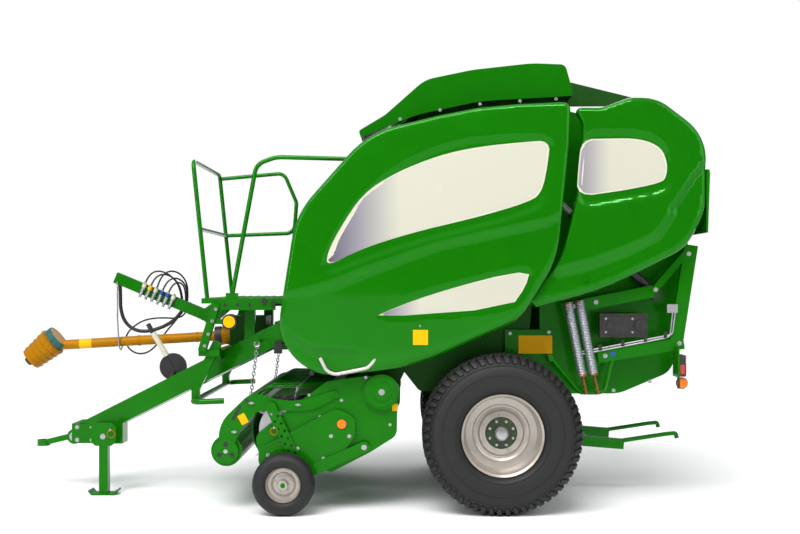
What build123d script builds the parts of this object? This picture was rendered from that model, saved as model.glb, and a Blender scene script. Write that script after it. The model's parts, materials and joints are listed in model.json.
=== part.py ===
from build123d import *
import math
import os

# Round baler, trailed. X runs to the rear, Y to the right-hand side, Z up, ground at Z = 0.
# Places are worked out from the main axle at X = 0 and moved at the end, so that X = 0 is mid-length.
# All lengths are in millimetres.

# Driving dimensions of the wheels and axle
TYRE_D = 1170.0
TYRE_W = 500.0
TRACK = 2040.0
RIM_R = 285.0
RIM_FLANGE_R = 300.0
RIM_WALL = 10.0
BEAD_IN = 60.0
DISC_T = 14.0
DISC_OUT = 30.0
HUB_R = 122.0
HUB_IN = 100.0
HUB_OUT = 78.0
HUB_CAP_R = 50.0
HUB_CAP_L = 30.0
STUD_COUNT = 8
STUD_PCD_R = 141.0
STUD_R = 11.0
AXLE_BOX = 110.0
STUB_R = 40.0
PIN_GAP = 0.3
RUN_GAP = 10.0

# Chamber walls
WALL_IN = 612.0
WALL_T = 8.0
GATE_WALL_IN = 640.0
GATE_WALL_T = 8.0

# Outer skins, measured from the machine's middle plane
DOOR_OUT = 1150.0
DOOR_DEPTH = 58.0
REAR_OUT = 1080.0
REAR_DEPTH = 60.0
SKIN_T = 6.0
ROOF_HALF_W = 850.0
COVER_HALF_W = 1060.0

# Joint places (X, Z)
GATE_PIVOT = (515.0, 2945.0)
GATE_PIN_R = 30.0
PICKUP_PIVOT = (-881.0, 886.0)
PICKUP_TUBE_R = 45.0
REEL_AXIS = (-1590.0, 600.0)
GUARD_PIVOT = (-1248.0, 872.0)
ROLLER_AXIS = (-2034.0, 446.0)
GAUGE_AXIS = (-1590.0, 228.0)
RAM_GATE_PIN = (1201.0, 1602.0)
RAM_FRONT_PIN = (194.0, 2575.0)
JACK_PIVOT = (-3120.0, 467.0)
RAMP_PIVOT = (190.0, 470.0)
DOOR_HINGE_Y = 1000.0
DOOR_HINGE_Z = 2950.0

nodes = {}


def save(name, *shapes):
    """Keep the solids of one node for writing at the end."""
    nodes[name] = [solid for shape in shapes for solid in shape.solids()]


def box(x0, x1, y0, y1, z0, z1):
    """Box between two corners."""
    size = (abs(x1 - x0), abs(y1 - y0), abs(z1 - z0))
    return Pos((x0 + x1) / 2, (y0 + y1) / 2, (z0 + z1) / 2) * Box(*size)


def rod(start, end, radius):
    """Round bar between two points."""
    start, end = Vector(*start), Vector(*end)
    plane = Plane(origin=start, z_dir=(end - start).normalized())
    length = (end - start).length
    return extrude(plane * Circle(radius), amount=length)


def cross_rod(place, y0, y1, radius):
    """Round bar along Y at a place (X, Z)."""
    return rod((place[0], y0, place[1]), (place[0], y1, place[1]), radius)


def beam(start, end, width, depth):
    """Rectangular bar between two points, its width level and its depth square to both."""
    start, end = Vector(*start), Vector(*end)
    along = (end - start).normalized()
    level = Vector(0, 0, 1).cross(along).normalized()
    plane = Plane(origin=start, x_dir=level, z_dir=along)
    return extrude(plane * Rectangle(width, depth), amount=(end - start).length)


def bent_rod(points, radius, bends):
    """Round tube along straight runs joined by arcs."""
    path = FilletPolyline(*points, radius=bends)
    start = path @ 0
    plane = Plane(origin=start, z_dir=path % 0)
    return sweep(plane * Circle(radius), path=path)


def cord_tube(points, radius):
    """Tube of a hose along its route, each arc as large as the runs beside it allow."""
    corners = [Vector(*point) for point in points]
    bends = []
    for before, here, after in zip(corners, corners[1:], corners[2:]):
        turn = math.radians((here - before).get_angle(after - here))
        shorter = min((here - before).length, (after - here).length)
        bends.append(0.45 * shorter / math.tan(turn / 2))
    print("cord radii", [round(bend) for bend in bends], "diameter", 2 * radius)
    path = FilletPolyline(*points, radius=bends)
    tube = sweep(Plane(origin=path @ 0, z_dir=path % 0) * Circle(radius), path=path)
    print("cord length", round(path.length), "volume share", round(tube.volume / (math.pi * radius ** 2 * path.length), 4))
    return tube


def outline(corners):
    """Closed face in the XZ plane from rows of (x, z, corner radius)."""
    points = [(x, 0, z) for x, z, _ in corners]
    radii = [radius for _, _, radius in corners]
    return make_face(FilletPolyline(*points, radius=radii, close=True))


def slab(face, y0, y1):
    """Plate of an XZ outline between two Y values."""
    return extrude(face, amount=y1 - y0, dir=(0, 1, 0)).moved(Location((0, y0, 0)))


def inset(corners, distances):
    """Corner rows moved inwards, with one distance for each edge that starts at that corner."""
    count = len(corners)
    lines = []
    for i in range(count):
        (x0, z0, _), (x1, z1, _) = corners[i], corners[(i + 1) % count]
        length = math.hypot(x1 - x0, z1 - z0)
        nx, nz = -(z1 - z0) / length, (x1 - x0) / length
        lines.append((x0 + nx * distances[i], z0 + nz * distances[i], (x1 - x0) / length, (z1 - z0) / length))
    result = []
    for i in range(count):
        ax, az, adx, adz = lines[i - 1]
        bx, bz, bdx, bdz = lines[i]
        cross = adx * bdz - adz * bdx
        t = ((bx - ax) * bdz - (bz - az) * bdx) / cross
        mean = (distances[i - 1] + distances[i]) / 2
        radius = corners[i][2] - mean if cross > 0 else corners[i][2] + mean
        result.append((ax + adx * t, az + adz * t, max(radius, 1.0)))
    return result


def dish(corners, bevels, y_open, y_face, skin):
    """Skin open on its inner side: full outline at y_open, drawn in by the bevels at y_face."""
    depth = y_face - y_open

    def body(inner_skin, y_a, y_b):
        sections = []
        for y in (y_a, y_b):
            share = (y - y_open) / depth
            rows = inset(corners, [bevel * share + inner_skin for bevel in bevels])
            sections.append(outline(rows).moved(Location((0, y, 0))))
        return Solid.make_loft([section.wires()[0] for section in sections], True)

    step = math.copysign(skin, depth)
    return body(0.0, y_open, y_face) - body(skin, y_open - step, y_face - step)


def fuse_all(shapes):
    """One solid out of pieces that meet."""
    shapes = list(shapes)
    return shapes[0].fuse(*shapes[1:])


# Main wheels
AXLE_Z = TYRE_D / 2
WHEEL_Y = TRACK / 2


def make_tyre(side):
    """Tyre ring, round at the shoulders, seated on the rim."""
    half = TYRE_W / 2
    top = TYRE_D / 2
    rows = [
        (-half + BEAD_IN, RIM_R + PIN_GAP), (-half + BEAD_IN, RIM_FLANGE_R + 1), (-half + 20, RIM_FLANGE_R + 20),
        (-half, 400), (-half + 8, 500),
        (-half + 55, top - 18), (-half + 130, top), (half - 130, top), (half - 55, top - 18),
        (half - 8, 500), (half, 400), (half - 20, RIM_FLANGE_R + 20), (half - BEAD_IN, RIM_FLANGE_R + 1),
        (half - BEAD_IN, RIM_R + PIN_GAP),
    ]
    profile = make_face(Polyline(*[(0, y, r) for y, r in rows], close=True))
    ring = revolve(profile, Axis.Y, 360)
    return ring.moved(Location((0, side * WHEEL_Y, AXLE_Z)))


def make_rim(side):
    """Rim barrel, disc, hub and cap, as seen for the wheel on the side given."""
    half = TYRE_W / 2 - BEAD_IN + PIN_GAP
    barrel = Cylinder(RIM_R, 2 * half) - Cylinder(RIM_R - RIM_WALL, 2 * half)
    flange = Pos(0, 0, half + 6) * (Cylinder(RIM_FLANGE_R, 12) - Cylinder(RIM_R - RIM_WALL, 12))
    flange_in = Pos(0, 0, -half - 6) * (Cylinder(RIM_FLANGE_R, 12) - Cylinder(RIM_R - RIM_WALL, 12))
    disc = Pos(0, 0, DISC_OUT) * Cylinder(RIM_R - RIM_WALL, DISC_T)
    hub = Pos(0, 0, (HUB_OUT - HUB_IN) / 2) * Cylinder(HUB_R, HUB_OUT + HUB_IN)
    cap = Pos(0, 0, HUB_OUT + HUB_CAP_L / 2) * Cylinder(HUB_CAP_R, HUB_CAP_L)
    rim = fuse_all([barrel, flange, flange_in, disc, hub, cap])
    for k in range(STUD_COUNT):
        angle = 2 * math.pi * (k + 0.5) / STUD_COUNT
        hole = Pos(STUD_PCD_R * math.cos(angle), STUD_PCD_R * math.sin(angle), DISC_OUT)
        rim -= hole * Cylinder(STUD_R, 4 * DISC_T)
    rim -= Pos(0, 0, -HUB_IN + (HUB_IN + 50) / 2) * Cylinder(STUB_R + PIN_GAP, HUB_IN + 50)
    turned = Rot(-90, 0, 0) * rim if side > 0 else Rot(90, 0, 0) * rim
    return turned.moved(Location((0, side * WHEEL_Y, AXLE_Z)))


for side, word in ((-1, "left"), (1, "right")):
    save(f"tyre_{word}", make_tyre(side))
    save(f"rim_{word}", make_rim(side))

# Tailgate rams
RAM_Y = 752.0
RAM_EYE_HALF = 26.0
SIDE_GAP = 6.0
RAM_EYE_R = 45.0
RAM_PIN_R = 20.0
BARREL_R = 37.0
BARREL_BORE_R = 30.0
BARREL_L = 900.0
ROD_R = 22.0
PISTON_IN = 420.0
GLAND_L = 40.0
RAM_BOSS_OUT = RAM_Y - BARREL_R - SIDE_GAP

# Bends of the cover across the front of the body (X, Z)
COVER_TOP = (-945.0, 2745.0)
COVER_BEND = (-1462.0, 2170.0)
COVER_FOOT = (-1580.5, 1408.0)
COVER_STEP = SKIN_T + 0.5

# Chamber walls, with the cross tubes that join them
CHAMBER = [
    (COVER_FOOT[0] + 9, COVER_FOOT[1], 60), (-1500, 1290, 40), (-820, 1130, 60), (-600, 850, 60), (230, 850, 60),
    (250, 1300, 300),
    (320, 2000, 400), (440, 2600, 200), (440, 2860, 60), (585, 2860, 70), (585, 3020, 70),
    (100, 2985, 300), (-640, 2925, 200), (COVER_TOP[0] + COVER_STEP, COVER_TOP[1] - COVER_STEP, 600),
    (COVER_BEND[0] + COVER_STEP, COVER_BEND[1] - COVER_STEP, 600),
]
PICKUP_LUG_R = 80.0
LUG_T = 24.0
CROSS_TUBES = ((-1050.0, 2450.0), (-1250.0, 1450.0), (0.0, 2880.0))
CROSS_TUBE_R = 45.0


def make_chamber():
    """Two side plates and what joins them."""
    pieces = []
    for y in (-WALL_IN - WALL_T, WALL_IN):
        pieces.append(slab(outline(CHAMBER), y, y + WALL_T))
    for place in CROSS_TUBES:
        pieces.append(cross_rod(place, -WALL_IN - 1, WALL_IN + 1, CROSS_TUBE_R))
    for place, reach, radius in (
        (GATE_PIVOT, GATE_WALL_IN + GATE_WALL_T + 20, GATE_PIN_R),
        (RAM_FRONT_PIN, RAM_BOSS_OUT, 40.0),
    ):
        for sign in (-1, 1):
            pieces.append(cross_rod(place, sign * (WALL_IN + 1), sign * reach, radius))
    body = fuse_all(pieces)
    px, pz = PICKUP_PIVOT
    for sign in (-1, 1):
        y0 = sign * WALL_IN
        y1 = sign * (WALL_IN + LUG_T)
        lug = slab(outline([(px - 110, pz, 1), (px + 110, pz, 1), (px + 250, 1180, 20), (px - 160, 1225, 20)]),
                   min(y0, y1), max(y0, y1))
        lug = lug + cross_rod(PICKUP_PIVOT, y0, y1, PICKUP_LUG_R + 30)
        body = body + lug
    body -= cross_rod(PICKUP_PIVOT, -WALL_IN - 2 * LUG_T, WALL_IN + 2 * LUG_T, PICKUP_TUBE_R + PIN_GAP)
    return body


chamber = make_chamber()
save("chamber_walls", chamber)


def make_ram(side):
    """Barrel and rod of one tailgate ram, drawn shut."""
    gx, gz = RAM_GATE_PIN
    fx, fz = RAM_FRONT_PIN
    length = math.hypot(fx - gx, fz - gz)
    ux, uz = (fx - gx) / length, (fz - gz) / length
    y = side * RAM_Y

    def at(distance):
        return (gx + ux * distance, y, gz + uz * distance)

    barrel = rod(at(30), at(BARREL_L), BARREL_R)
    barrel = barrel + cross_rod(RAM_GATE_PIN, y - RAM_EYE_HALF, y + RAM_EYE_HALF, RAM_EYE_R)
    barrel -= rod(at(90), at(BARREL_L - GLAND_L), BARREL_BORE_R)
    barrel -= rod(at(90), at(BARREL_L + 10), ROD_R + PIN_GAP)
    barrel -= cross_rod(RAM_GATE_PIN, y - 60, y + 60, RAM_PIN_R + PIN_GAP)
    stick = rod(at(PISTON_IN), at(length - 20), ROD_R)
    stick = stick + rod(at(PISTON_IN), at(PISTON_IN + 40), BARREL_BORE_R - PIN_GAP)
    eye = cross_rod(RAM_FRONT_PIN, y - RAM_EYE_HALF, y + RAM_EYE_HALF, RAM_EYE_R)
    eye -= cross_rod(RAM_FRONT_PIN, y - 60, y + 60, RAM_PIN_R)
    stick = stick + eye
    return barrel, stick - cross_rod(RAM_FRONT_PIN, y - 60, y + 60, RAM_PIN_R)


for side, word in ((-1, "left"), (1, "right")):
    ram_barrel, ram_rod = make_ram(side)
    save(f"ram_barrel_{word}", ram_barrel)
    save(f"ram_rod_{word}", ram_rod)

# Axle and its uprights
UPRIGHT_T = 20.0
UPRIGHT = [(-170, 640, 20), (170, 640, 20), (120, 1060, 40), (-120, 1060, 40)]
axle_parts = [
    box(-AXLE_BOX / 2, AXLE_BOX / 2, -(WHEEL_Y - HUB_IN - RUN_GAP), WHEEL_Y - HUB_IN - RUN_GAP,
        AXLE_Z - AXLE_BOX / 2, AXLE_Z + AXLE_BOX / 2),
    cross_rod((0, AXLE_Z), -(WHEEL_Y + 40), WHEEL_Y + 40, STUB_R),
]
for sign in (-1, 1):
    ends = sorted((sign * (WALL_IN + WALL_T), sign * (WALL_IN + WALL_T + UPRIGHT_T)))
    axle_parts.append(slab(outline(UPRIGHT), *ends))
RAMP_LUG_T = 16.0
RAMP_Y = 340.0
RAMP_PIN_R = 18.0
RAMP_EYE_HALF = 25.0
for sign in (-1, 1):
    for offset in (-RAMP_EYE_HALF - 5 - RAMP_LUG_T, RAMP_EYE_HALF + 5):
        y0 = sign * RAMP_Y + offset
        axle_parts.append(slab(outline([(0, 640, 5), (-50, 540, 20), (150, 420, 40), (235, 420, 40), (235, 520, 40)]),
                               y0, y0 + RAMP_LUG_T))
    y0 = sign * RAMP_Y - RAMP_EYE_HALF - 5 - RAMP_LUG_T
    axle_parts.append(cross_rod(RAMP_PIVOT, y0, y0 + 2 * (RAMP_EYE_HALF + 5 + RAMP_LUG_T), RAMP_PIN_R))
save("axle_frame", fuse_all(axle_parts))

# Bale ramp: two arms behind the axle
ramp_parts = []
for sign in (-1, 1):
    y = sign * RAMP_Y
    ramp_parts.append(beam((RAMP_PIVOT[0], y, RAMP_PIVOT[1]), (1034, y, 402), 2 * RAMP_EYE_HALF, 80))
    ramp_parts.append(cross_rod(RAMP_PIVOT, y - RAMP_EYE_HALF, y + RAMP_EYE_HALF, 42))
    ramp_parts.append(bent_rod([(1000, y, 425), (1374, y, 482), (1452, y, 490), (1462, y, 450)], 17, [120, 20]))
ramp_parts.append(cross_rod((760, 424), -RAMP_Y, RAMP_Y, 25))
ramp = fuse_all(ramp_parts)
ramp -= cross_rod(RAMP_PIVOT, -500, 500, RAMP_PIN_R + PIN_GAP)
save("bale_ramp", ramp)

# Rollers of the chamber floor
FLOOR_ROLLERS = ((-560.0, 960.0), (-320.0, 945.0), (-80.0, 945.0), (150.0, 960.0))
FLOOR_ROLLER_R = 75.0
rollers = []
for place in FLOOR_ROLLERS:
    rollers.append(cross_rod(place, -WALL_IN + 4, WALL_IN - 4, FLOOR_ROLLER_R))
    rollers.append(cross_rod(place, -WALL_IN, WALL_IN, 25))
save("floor_rollers", *[rollers[i] + rollers[i + 1] for i in range(0, len(rollers), 2)])

# Drawbar: two beams that meet at the tow eye, and their rear runs along the chamber walls
BAR_W = 80.0
BAR_H = 160.0
BAR_FRONT = (-3340.0, 95.0, 470.0)
BAR_REAR = (-1640.0, 662.0, 1318.0)
BAR_END_X = -800.0
bar_parts = []
for sign in (-1, 1):
    front = (BAR_FRONT[0], sign * BAR_FRONT[1], BAR_FRONT[2])
    rear = (BAR_REAR[0], sign * BAR_REAR[1], BAR_REAR[2])
    bar_parts.append(beam(front, rear, BAR_W, BAR_H))
    bar_parts.append(box(BAR_REAR[0] - 40, BAR_END_X, sign * (WALL_IN + WALL_T), sign * (WALL_IN + WALL_T + BAR_W),
                         BAR_REAR[2] - 85, BAR_REAR[2] + 85))
bar_parts.append(box(-3440, -3240, -150, 150, 380, 540))
bar_parts.append(box(-2200, -2130, -690, 690, 1100, 1170))
bar_parts.append(box(-1720, -1640, -640, 640, 1250, 1390))
bar_parts.append(box(-2140, -1660, -60, 60, 1140, 1180))
JACK_Y = 340.0
JACK_PIN_R = 15.0
bar_parts.append(box(-3219, -2990, -BAR_W * 3.5, -120, 395, 560))
bar_parts.append(cross_rod(JACK_PIVOT, -JACK_Y - 45, -200, JACK_PIN_R))
drawbar = fuse_all(bar_parts)
save("drawbar", drawbar)

# Tow eye
EYE_OUT_R = 52.0
EYE_BORE_R = 25.0
EYE_T = 48.0
EYE_X = -3718.0
EYE_Z = 366.0
eye_arm = beam((-3445, 0, 430), (EYE_X + EYE_BORE_R + 15, 0, EYE_Z + 8), 80, 44)
eye_disc = cross_rod((-3441, 425), -75, 75, 62)
eye_ring = Pos(EYE_X, 0, EYE_Z) * Cylinder(EYE_OUT_R, EYE_T)
tow_eye = fuse_all([eye_arm, eye_disc, eye_ring])
tow_eye -= Pos(EYE_X, 0, EYE_Z) * Cylinder(EYE_BORE_R, 200)
save("tow_eye", tow_eye - drawbar)

# Jack leg with its sledge foot
JACK_TUBE = 70.0
jack_y = -JACK_Y
leg = box(JACK_PIVOT[0] - JACK_TUBE / 2, JACK_PIVOT[0] + JACK_TUBE / 2, jack_y - 35, jack_y + 35, 14, 530)
foot = slab(outline([(-3206, 0, 20), (-3032, 0, 20), (-3000, 34, 4), (-3011, 44, 4), (-3040, 14, 12), (-3198, 14, 12),
                     (-3227, 44, 4), (-3238, 34, 4)]), jack_y - 60, jack_y + 60)
leg = leg + foot
leg -= cross_rod(JACK_PIVOT, jack_y - 80, jack_y + 80, JACK_PIN_R + PIN_GAP)
save("jack_leg", leg)

# Gearbox and drive shaft under its guard
gearbox = box(-2146, -1850, -170, 170, 1180, 1420)
save("gearbox", gearbox)
GUARD_R = 40.0
GUARD_FRONT = (-3575.0, 0.0, 1175.0)
GUARD_REAR = (-2146.0, 0.0, 1258.0)
BELL_BACK = (-3640.0, 0.0, 1205.0)
BELL_MOUTH = (-3822.0, 0.0, 1057.0)
BELL_R_BACK = 118.0
BELL_R_MOUTH = 92.0
BELL_WALL = 6.0
tube_guard = rod(GUARD_FRONT, GUARD_REAR, GUARD_R)
rear_cone = rod((-2290, 0, 1249.6), GUARD_REAR, 75)
bell_axis = (Vector(*BELL_MOUTH) - Vector(*BELL_BACK)).normalized()
bell_length = (Vector(*BELL_MOUTH) - Vector(*BELL_BACK)).length
bell_plane = Plane(origin=BELL_BACK, z_dir=bell_axis)
bell = loft([bell_plane * Circle(BELL_R_BACK), bell_plane.offset(bell_length) * Circle(BELL_R_MOUTH)])
hollow = loft([bell_plane.offset(30) * Circle(BELL_R_BACK - 2 * BELL_WALL),
               bell_plane.offset(bell_length + 1) * Circle(BELL_R_MOUTH - BELL_WALL)])
collar = extrude(bell_plane * Circle(BELL_R_BACK - 20), amount=-60)
shaft_end = rod(BELL_BACK, Vector(*BELL_BACK) + bell_axis * 110, 24)
pto_guard = fuse_all([tube_guard, rear_cone, bell - hollow, collar, shaft_end])
save("pto_guard", pto_guard - gearbox)
YOKE_BACK = Vector(*BELL_BACK) + bell_axis * 110.5
YOKE_BORE_R = 17.45
YOKE_L = 160.0
yoke_plane = Plane(origin=YOKE_BACK, z_dir=bell_axis)
yoke = extrude(yoke_plane * Circle(46), amount=60)
yoke = yoke + extrude(yoke_plane * Circle(36), amount=YOKE_L)
yoke -= extrude(yoke_plane.offset(40) * Circle(YOKE_BORE_R), amount=YOKE_L)
save("pto_yoke", yoke)

# Hose bar with its holder plate, and the rod that holds the shaft up
HOSE_TIP = (-3118.0, 0.0, 1736.0)
HOSE_FOOT = (-2373.0, 0.0, 1424.0)
HOSE_LUG_IN = 62.0
HOSE_LUG_T = 12.0
hose_bar = beam(HOSE_FOOT, HOSE_TIP, 60, 90)
hose_bar = hose_bar + cross_rod((HOSE_FOOT[0], HOSE_FOOT[2]), -HOSE_LUG_IN, HOSE_LUG_IN, 45)
HOSE_BLOCK_TOP = 1530.0
HOSE_BLOCK_LOW = 1480.0
hose_bar = hose_bar + box(-2612, -2527, 30, 165, HOSE_BLOCK_LOW, HOSE_BLOCK_TOP)
save("hose_bar", hose_bar)
hanger = bent_rod([(-3097, -36, 1702), (-3090, -60, 1400), (-3078, -60, 1168), (-3078, 0, 1128), (-3078, 55, 1168),
                   (-3078, 58, 1230)], 6, [200, 40, 30, 40])
save("shaft_hanger", hanger)

# Couplers parked in a row on the hose bar's left side, upright to the bar
COUPLER_COUNT = 6
COUPLER_X0 = -2885.0
COUPLER_PITCH = 48.0
COUPLER_Y = -45.0
COUPLER_R = 17.0
COUPLER_TOP = 62.0
bar_run = (Vector(*HOSE_TIP) - Vector(*HOSE_FOOT)).normalized()
BAR_UP = (bar_run.Z, -bar_run.X)
couplers = []
for k in range(COUPLER_COUNT):
    x = COUPLER_X0 + COUPLER_PITCH * k
    z = HOSE_FOOT[2] + (x - HOSE_FOOT[0]) * bar_run.Z / bar_run.X

    def up(distance):
        return (x + BAR_UP[0] * distance, COUPLER_Y, z + BAR_UP[1] * distance)

    couplers.append((rod(up(-48), up(40), COUPLER_R) + rod(up(-70), up(COUPLER_TOP), 11)) - hose_bar)
save("couplers", *couplers)

# Hoses: from the couplers over the bar into the block behind it, and a long loop below it
HOSE_R = 7.0
HOSES = {
    "hose_loop_1": [(-2861, -45, 1695), (-2830, -44, 1769), (-2748, -15, 1797), (-2650, 30, 1742), (-2597, 75, 1640),
                    (-2590, 95, 1530)],
    "hose_loop_2": [(-2813, -45, 1675), (-2785, -40, 1741), (-2715, 20, 1770), (-2640, 80, 1722), (-2600, 130, 1630),
                    (-2592, 145, 1530)],
    "hose_loop_3": [(-2765, -45, 1655), (-2740, -45, 1733), (-2680, -25, 1793), (-2600, 25, 1780), (-2550, 80, 1705),
                    (-2541, 112, 1615), (-2549, 120, 1530)],
    "hose_loop_4": [(-2717, -45, 1635), (-2688, -42, 1703), (-2622, -12, 1738), (-2560, 30, 1700), (-2536, 62, 1620),
                    (-2545, 70, 1530)],
    "hose_loop_5": [(-2669, -45, 1615), (-2640, -40, 1682), (-2577, -10, 1700), (-2545, 38, 1632), (-2549, 45, 1530)],
    "hose_loop_6": [(-2540, 75, 1480), (-2562, 76, 1420), (-2635, 80, 1392), (-2760, 90, 1400), (-2900, 95, 1385),
                    (-3010, 95, 1318), (-3068, 92, 1235), (-3045, 90, 1145), (-2965, 90, 1092), (-2870, 98, 1105),
                    (-2790, 108, 1185), (-2730, 120, 1280), (-2660, 130, 1360), (-2612, 138, 1425), (-2598, 140, 1480)],
}
for name, points in HOSES.items():
    save(name, cord_tube(points, HOSE_R) - hose_bar - couplers)
BUNDLE_R = 15.0
BUNDLE = [(-3085, 0, 1690), (-3082, 5, 1590), (-3085, 15, 1480), (-3060, 30, 1375), (-2985, 35, 1300),
          (-2880, 38, 1283), (-2770, 36, 1310), (-2680, 30, 1352), (-2610, 24, 1405), (-2562, 20, 1475)]
save("cable_bundle", cord_tube(BUNDLE, BUNDLE_R) - hose_bar)

# Platform
DECK_X0 = -2267.0
DECK_X1 = -1612.0
DECK_Z = 1573.0
DECK_T = 40.0
DECK_HALF_W = 750.0
deck = [box(DECK_X0, DECK_X1, -DECK_HALF_W, DECK_HALF_W, DECK_Z - DECK_T, DECK_Z)]
for sign in (-1, 1):
    deck.append(box(-1960, -1880, sign * 535, sign * 600, 1235, DECK_Z - DECK_T))
    deck.append(box(DECK_X0 + 130, -1700, sign * (DECK_HALF_W - 6), sign * (DECK_HALF_W + 4), DECK_Z - 90, DECK_Z))
    deck.append(slab(outline([(-2373, 1380, 44), (-2330, 1330, 30), (DECK_X0 + 190, DECK_Z - 20, 5),
                              (DECK_X0, DECK_Z - 20, 5), (-2410, 1450, 30)]),
                     sign * HOSE_LUG_IN, sign * (HOSE_LUG_IN + HOSE_LUG_T)))
platform = fuse_all(deck) - drawbar
save("platform", platform)

# Rails round the platform
RAIL_R = 17.0
RAIL_Y = DECK_HALF_W - 150.0
RAIL_FOOT_X = -2250.0
RAIL_TOP = (-2360.0, 2640.0)
near_loop = bent_rod([(RAIL_FOOT_X, -RAIL_Y, DECK_Z - 5), (RAIL_TOP[0], -RAIL_Y, RAIL_TOP[1]),
                      (RAIL_TOP[0], RAIL_Y, RAIL_TOP[1]), (RAIL_FOOT_X, RAIL_Y, DECK_Z - 5)], RAIL_R, [60, 60])
rail_mid_x = RAIL_FOOT_X + (RAIL_TOP[0] - RAIL_FOOT_X) * 0.5
mid_bar = rod((rail_mid_x, -RAIL_Y, 2108), (rail_mid_x, RAIL_Y, 2108), RAIL_R)
side_loop = bent_rod([(RAIL_TOP[0] + 20, RAIL_Y, RAIL_TOP[1] - 30), (-1790, RAIL_Y, 2660), (-1680, RAIL_Y, 2400),
                      (-1700, RAIL_Y, 2130), (rail_mid_x + 5, RAIL_Y, 2108)], RAIL_R, [80, 100, 80])
rear_post = rod((-1700, RAIL_Y, DECK_Z - 5), (-1700, RAIL_Y, 2150), RAIL_R)
save("front_rails", fuse_all([near_loop, mid_bar, side_loop, rear_post]) - platform)
GRAB_Y = 25.0 - DECK_HALF_W
grab = bent_rod([(-2040, GRAB_Y, DECK_Z), (-1850, GRAB_Y, 2600), (-1700, GRAB_Y, 2655), (-1120, GRAB_Y, 2640)],
                RAIL_R, [110, 250])
grab = grab + box(-2080, -1990, GRAB_Y - 30, GRAB_Y + 20, DECK_Z, DECK_Z + 40)
save("grab_rail", grab - platform)

# Step frame: channels beside the drawbar and the cross step in front of the pick-up
STEP_Y = DECK_HALF_W - 5.0
STEP_END = DECK_HALF_W + 100.0
steps = []
for sign in (-1, 1):
    y = sign * STEP_Y
    steps.append(beam((-2152, y, 1536), (-2262, y, 1170), 50, 60))
    steps.append(beam((-2150, y - sign * 52, 1237), (-2331, y - sign * 52, 860), 50, 70))
    steps.append(box(-2290, -2130, y - sign * 80, y, 1130, 1180))
step_bar = bent_rod([(-2080, -STEP_END, 800), (-2320, -STEP_END, 790), (-2320, STEP_END, 790),
                     (-2080, STEP_END, 800)], 22, [80, 80])
steps.append(step_bar)
for sign in (-1, 1):
    steps.append(box(-2350, -2290, sign * (STEP_Y - 77), sign * (STEP_Y - 27), 790, 870))
save("step_frame", fuse_all(steps) - drawbar - platform)

# Parking brake lever on the drawbar
brake = [cross_rod((-2600, 1010), -190, -206, 110)]
brake.append(rod((-2600, -198, 1010), (-2790, -198, 1330), 12))
brake.append(rod((-2650, -198, 1094), (-2770, -198, 1297), 22))
brake.append(rod((-2600, -198, 960), (-2600, -320, 900), 20))
save("brake_lever", fuse_all(brake) - drawbar)

# Cover across the front of the body
COVER = [(-700, COVER_FOOT[1], 0), (-700, 2895, 0), (*COVER_TOP, 600), (*COVER_BEND, 600), (*COVER_FOOT, 0)]
cover_face = outline(COVER)
cover_sheet = cover_face - cover_face.moved(Location((SKIN_T, 0, -SKIN_T)))
front_cover = slab(cover_sheet.faces()[0], -COVER_HALF_W, COVER_HALF_W)
save("front_cover", front_cover - chamber)

# Roof lid and the dark plates under it
ROOF = [
    (-1045, 2790, 20), (-620, 2961, 900), (-141, 3064, 1500), (560, 3104, 10), (545, 3180, 60),
    (500, 3340, 50), (250, 3350, 900), (-200, 3300, 900), (-560, 3225, 260), (-860, 2960, 300), (-1060, 2840, 20),
]
roof_face = outline(ROOF)
roof_inner = roof_face.moved(Location((SKIN_T, 0, -SKIN_T))) & roof_face.moved(Location((-SKIN_T, 0, -SKIN_T)))
roof = slab(roof_face, -ROOF_HALF_W, ROOF_HALF_W)
for piece in roof_inner.faces():
    roof -= slab(piece, -ROOF_HALF_W + SKIN_T, ROOF_HALF_W - SKIN_T)
save("roof_panel", roof)
plate_zone = outline([(-620, 2900, 0), (-620, 3400, 0), (520, 3400, 0), (520, 2900, 0)])
TOP_PLATE_IN = 602.0
TOP_PLATE_T = 10.0
tail = outline([(200, 2940, 10), (470, 2960, 30), (480, 3060, 30), (850, 3062, 30), (1075, 3124, 6), (520, 3261, 5),
                (200, 3200, 5)])
plate_faces = (roof_inner & plate_zone) + tail
low_zone = outline([(-620, 2880, 0), (-620, 3120, 0), (300, 3150, 0), (300, 2940, 0)])
plate_faces = plate_faces + low_zone
plates = []
for sign in (-1, 1):
    ends = sorted((sign * TOP_PLATE_IN, sign * (TOP_PLATE_IN + TOP_PLATE_T)))
    plates.append(slab(plate_faces.faces()[0], *ends) - roof)
save("top_plates", *plates)

# Front side doors, hung at their tops
DOOR = [
    (505, 3018, 60), (-181, 2986, 3000), (-981, 2790, 680), (-1509, 2194, 640), (-1703, 963, 400),
    (-640, 1072, 1650), (138, 1423, 360), (408, 1860, 700), (493, 2700, 1500),
]
DOOR_BEVELS = [24, 28, 30, 30, 150, 70, 40, 20, 16]
DOOR_ARMS = ((-150.0, -120.0), (290.0, 320.0))
HINGE_ROD_R = 12.0
ARM_HALF = 25.0
HANDLE = [(-1336, 1150), (-1282, 1046), (-1219, 1021), (-974, 1070), (-915, 1150)]


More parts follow.
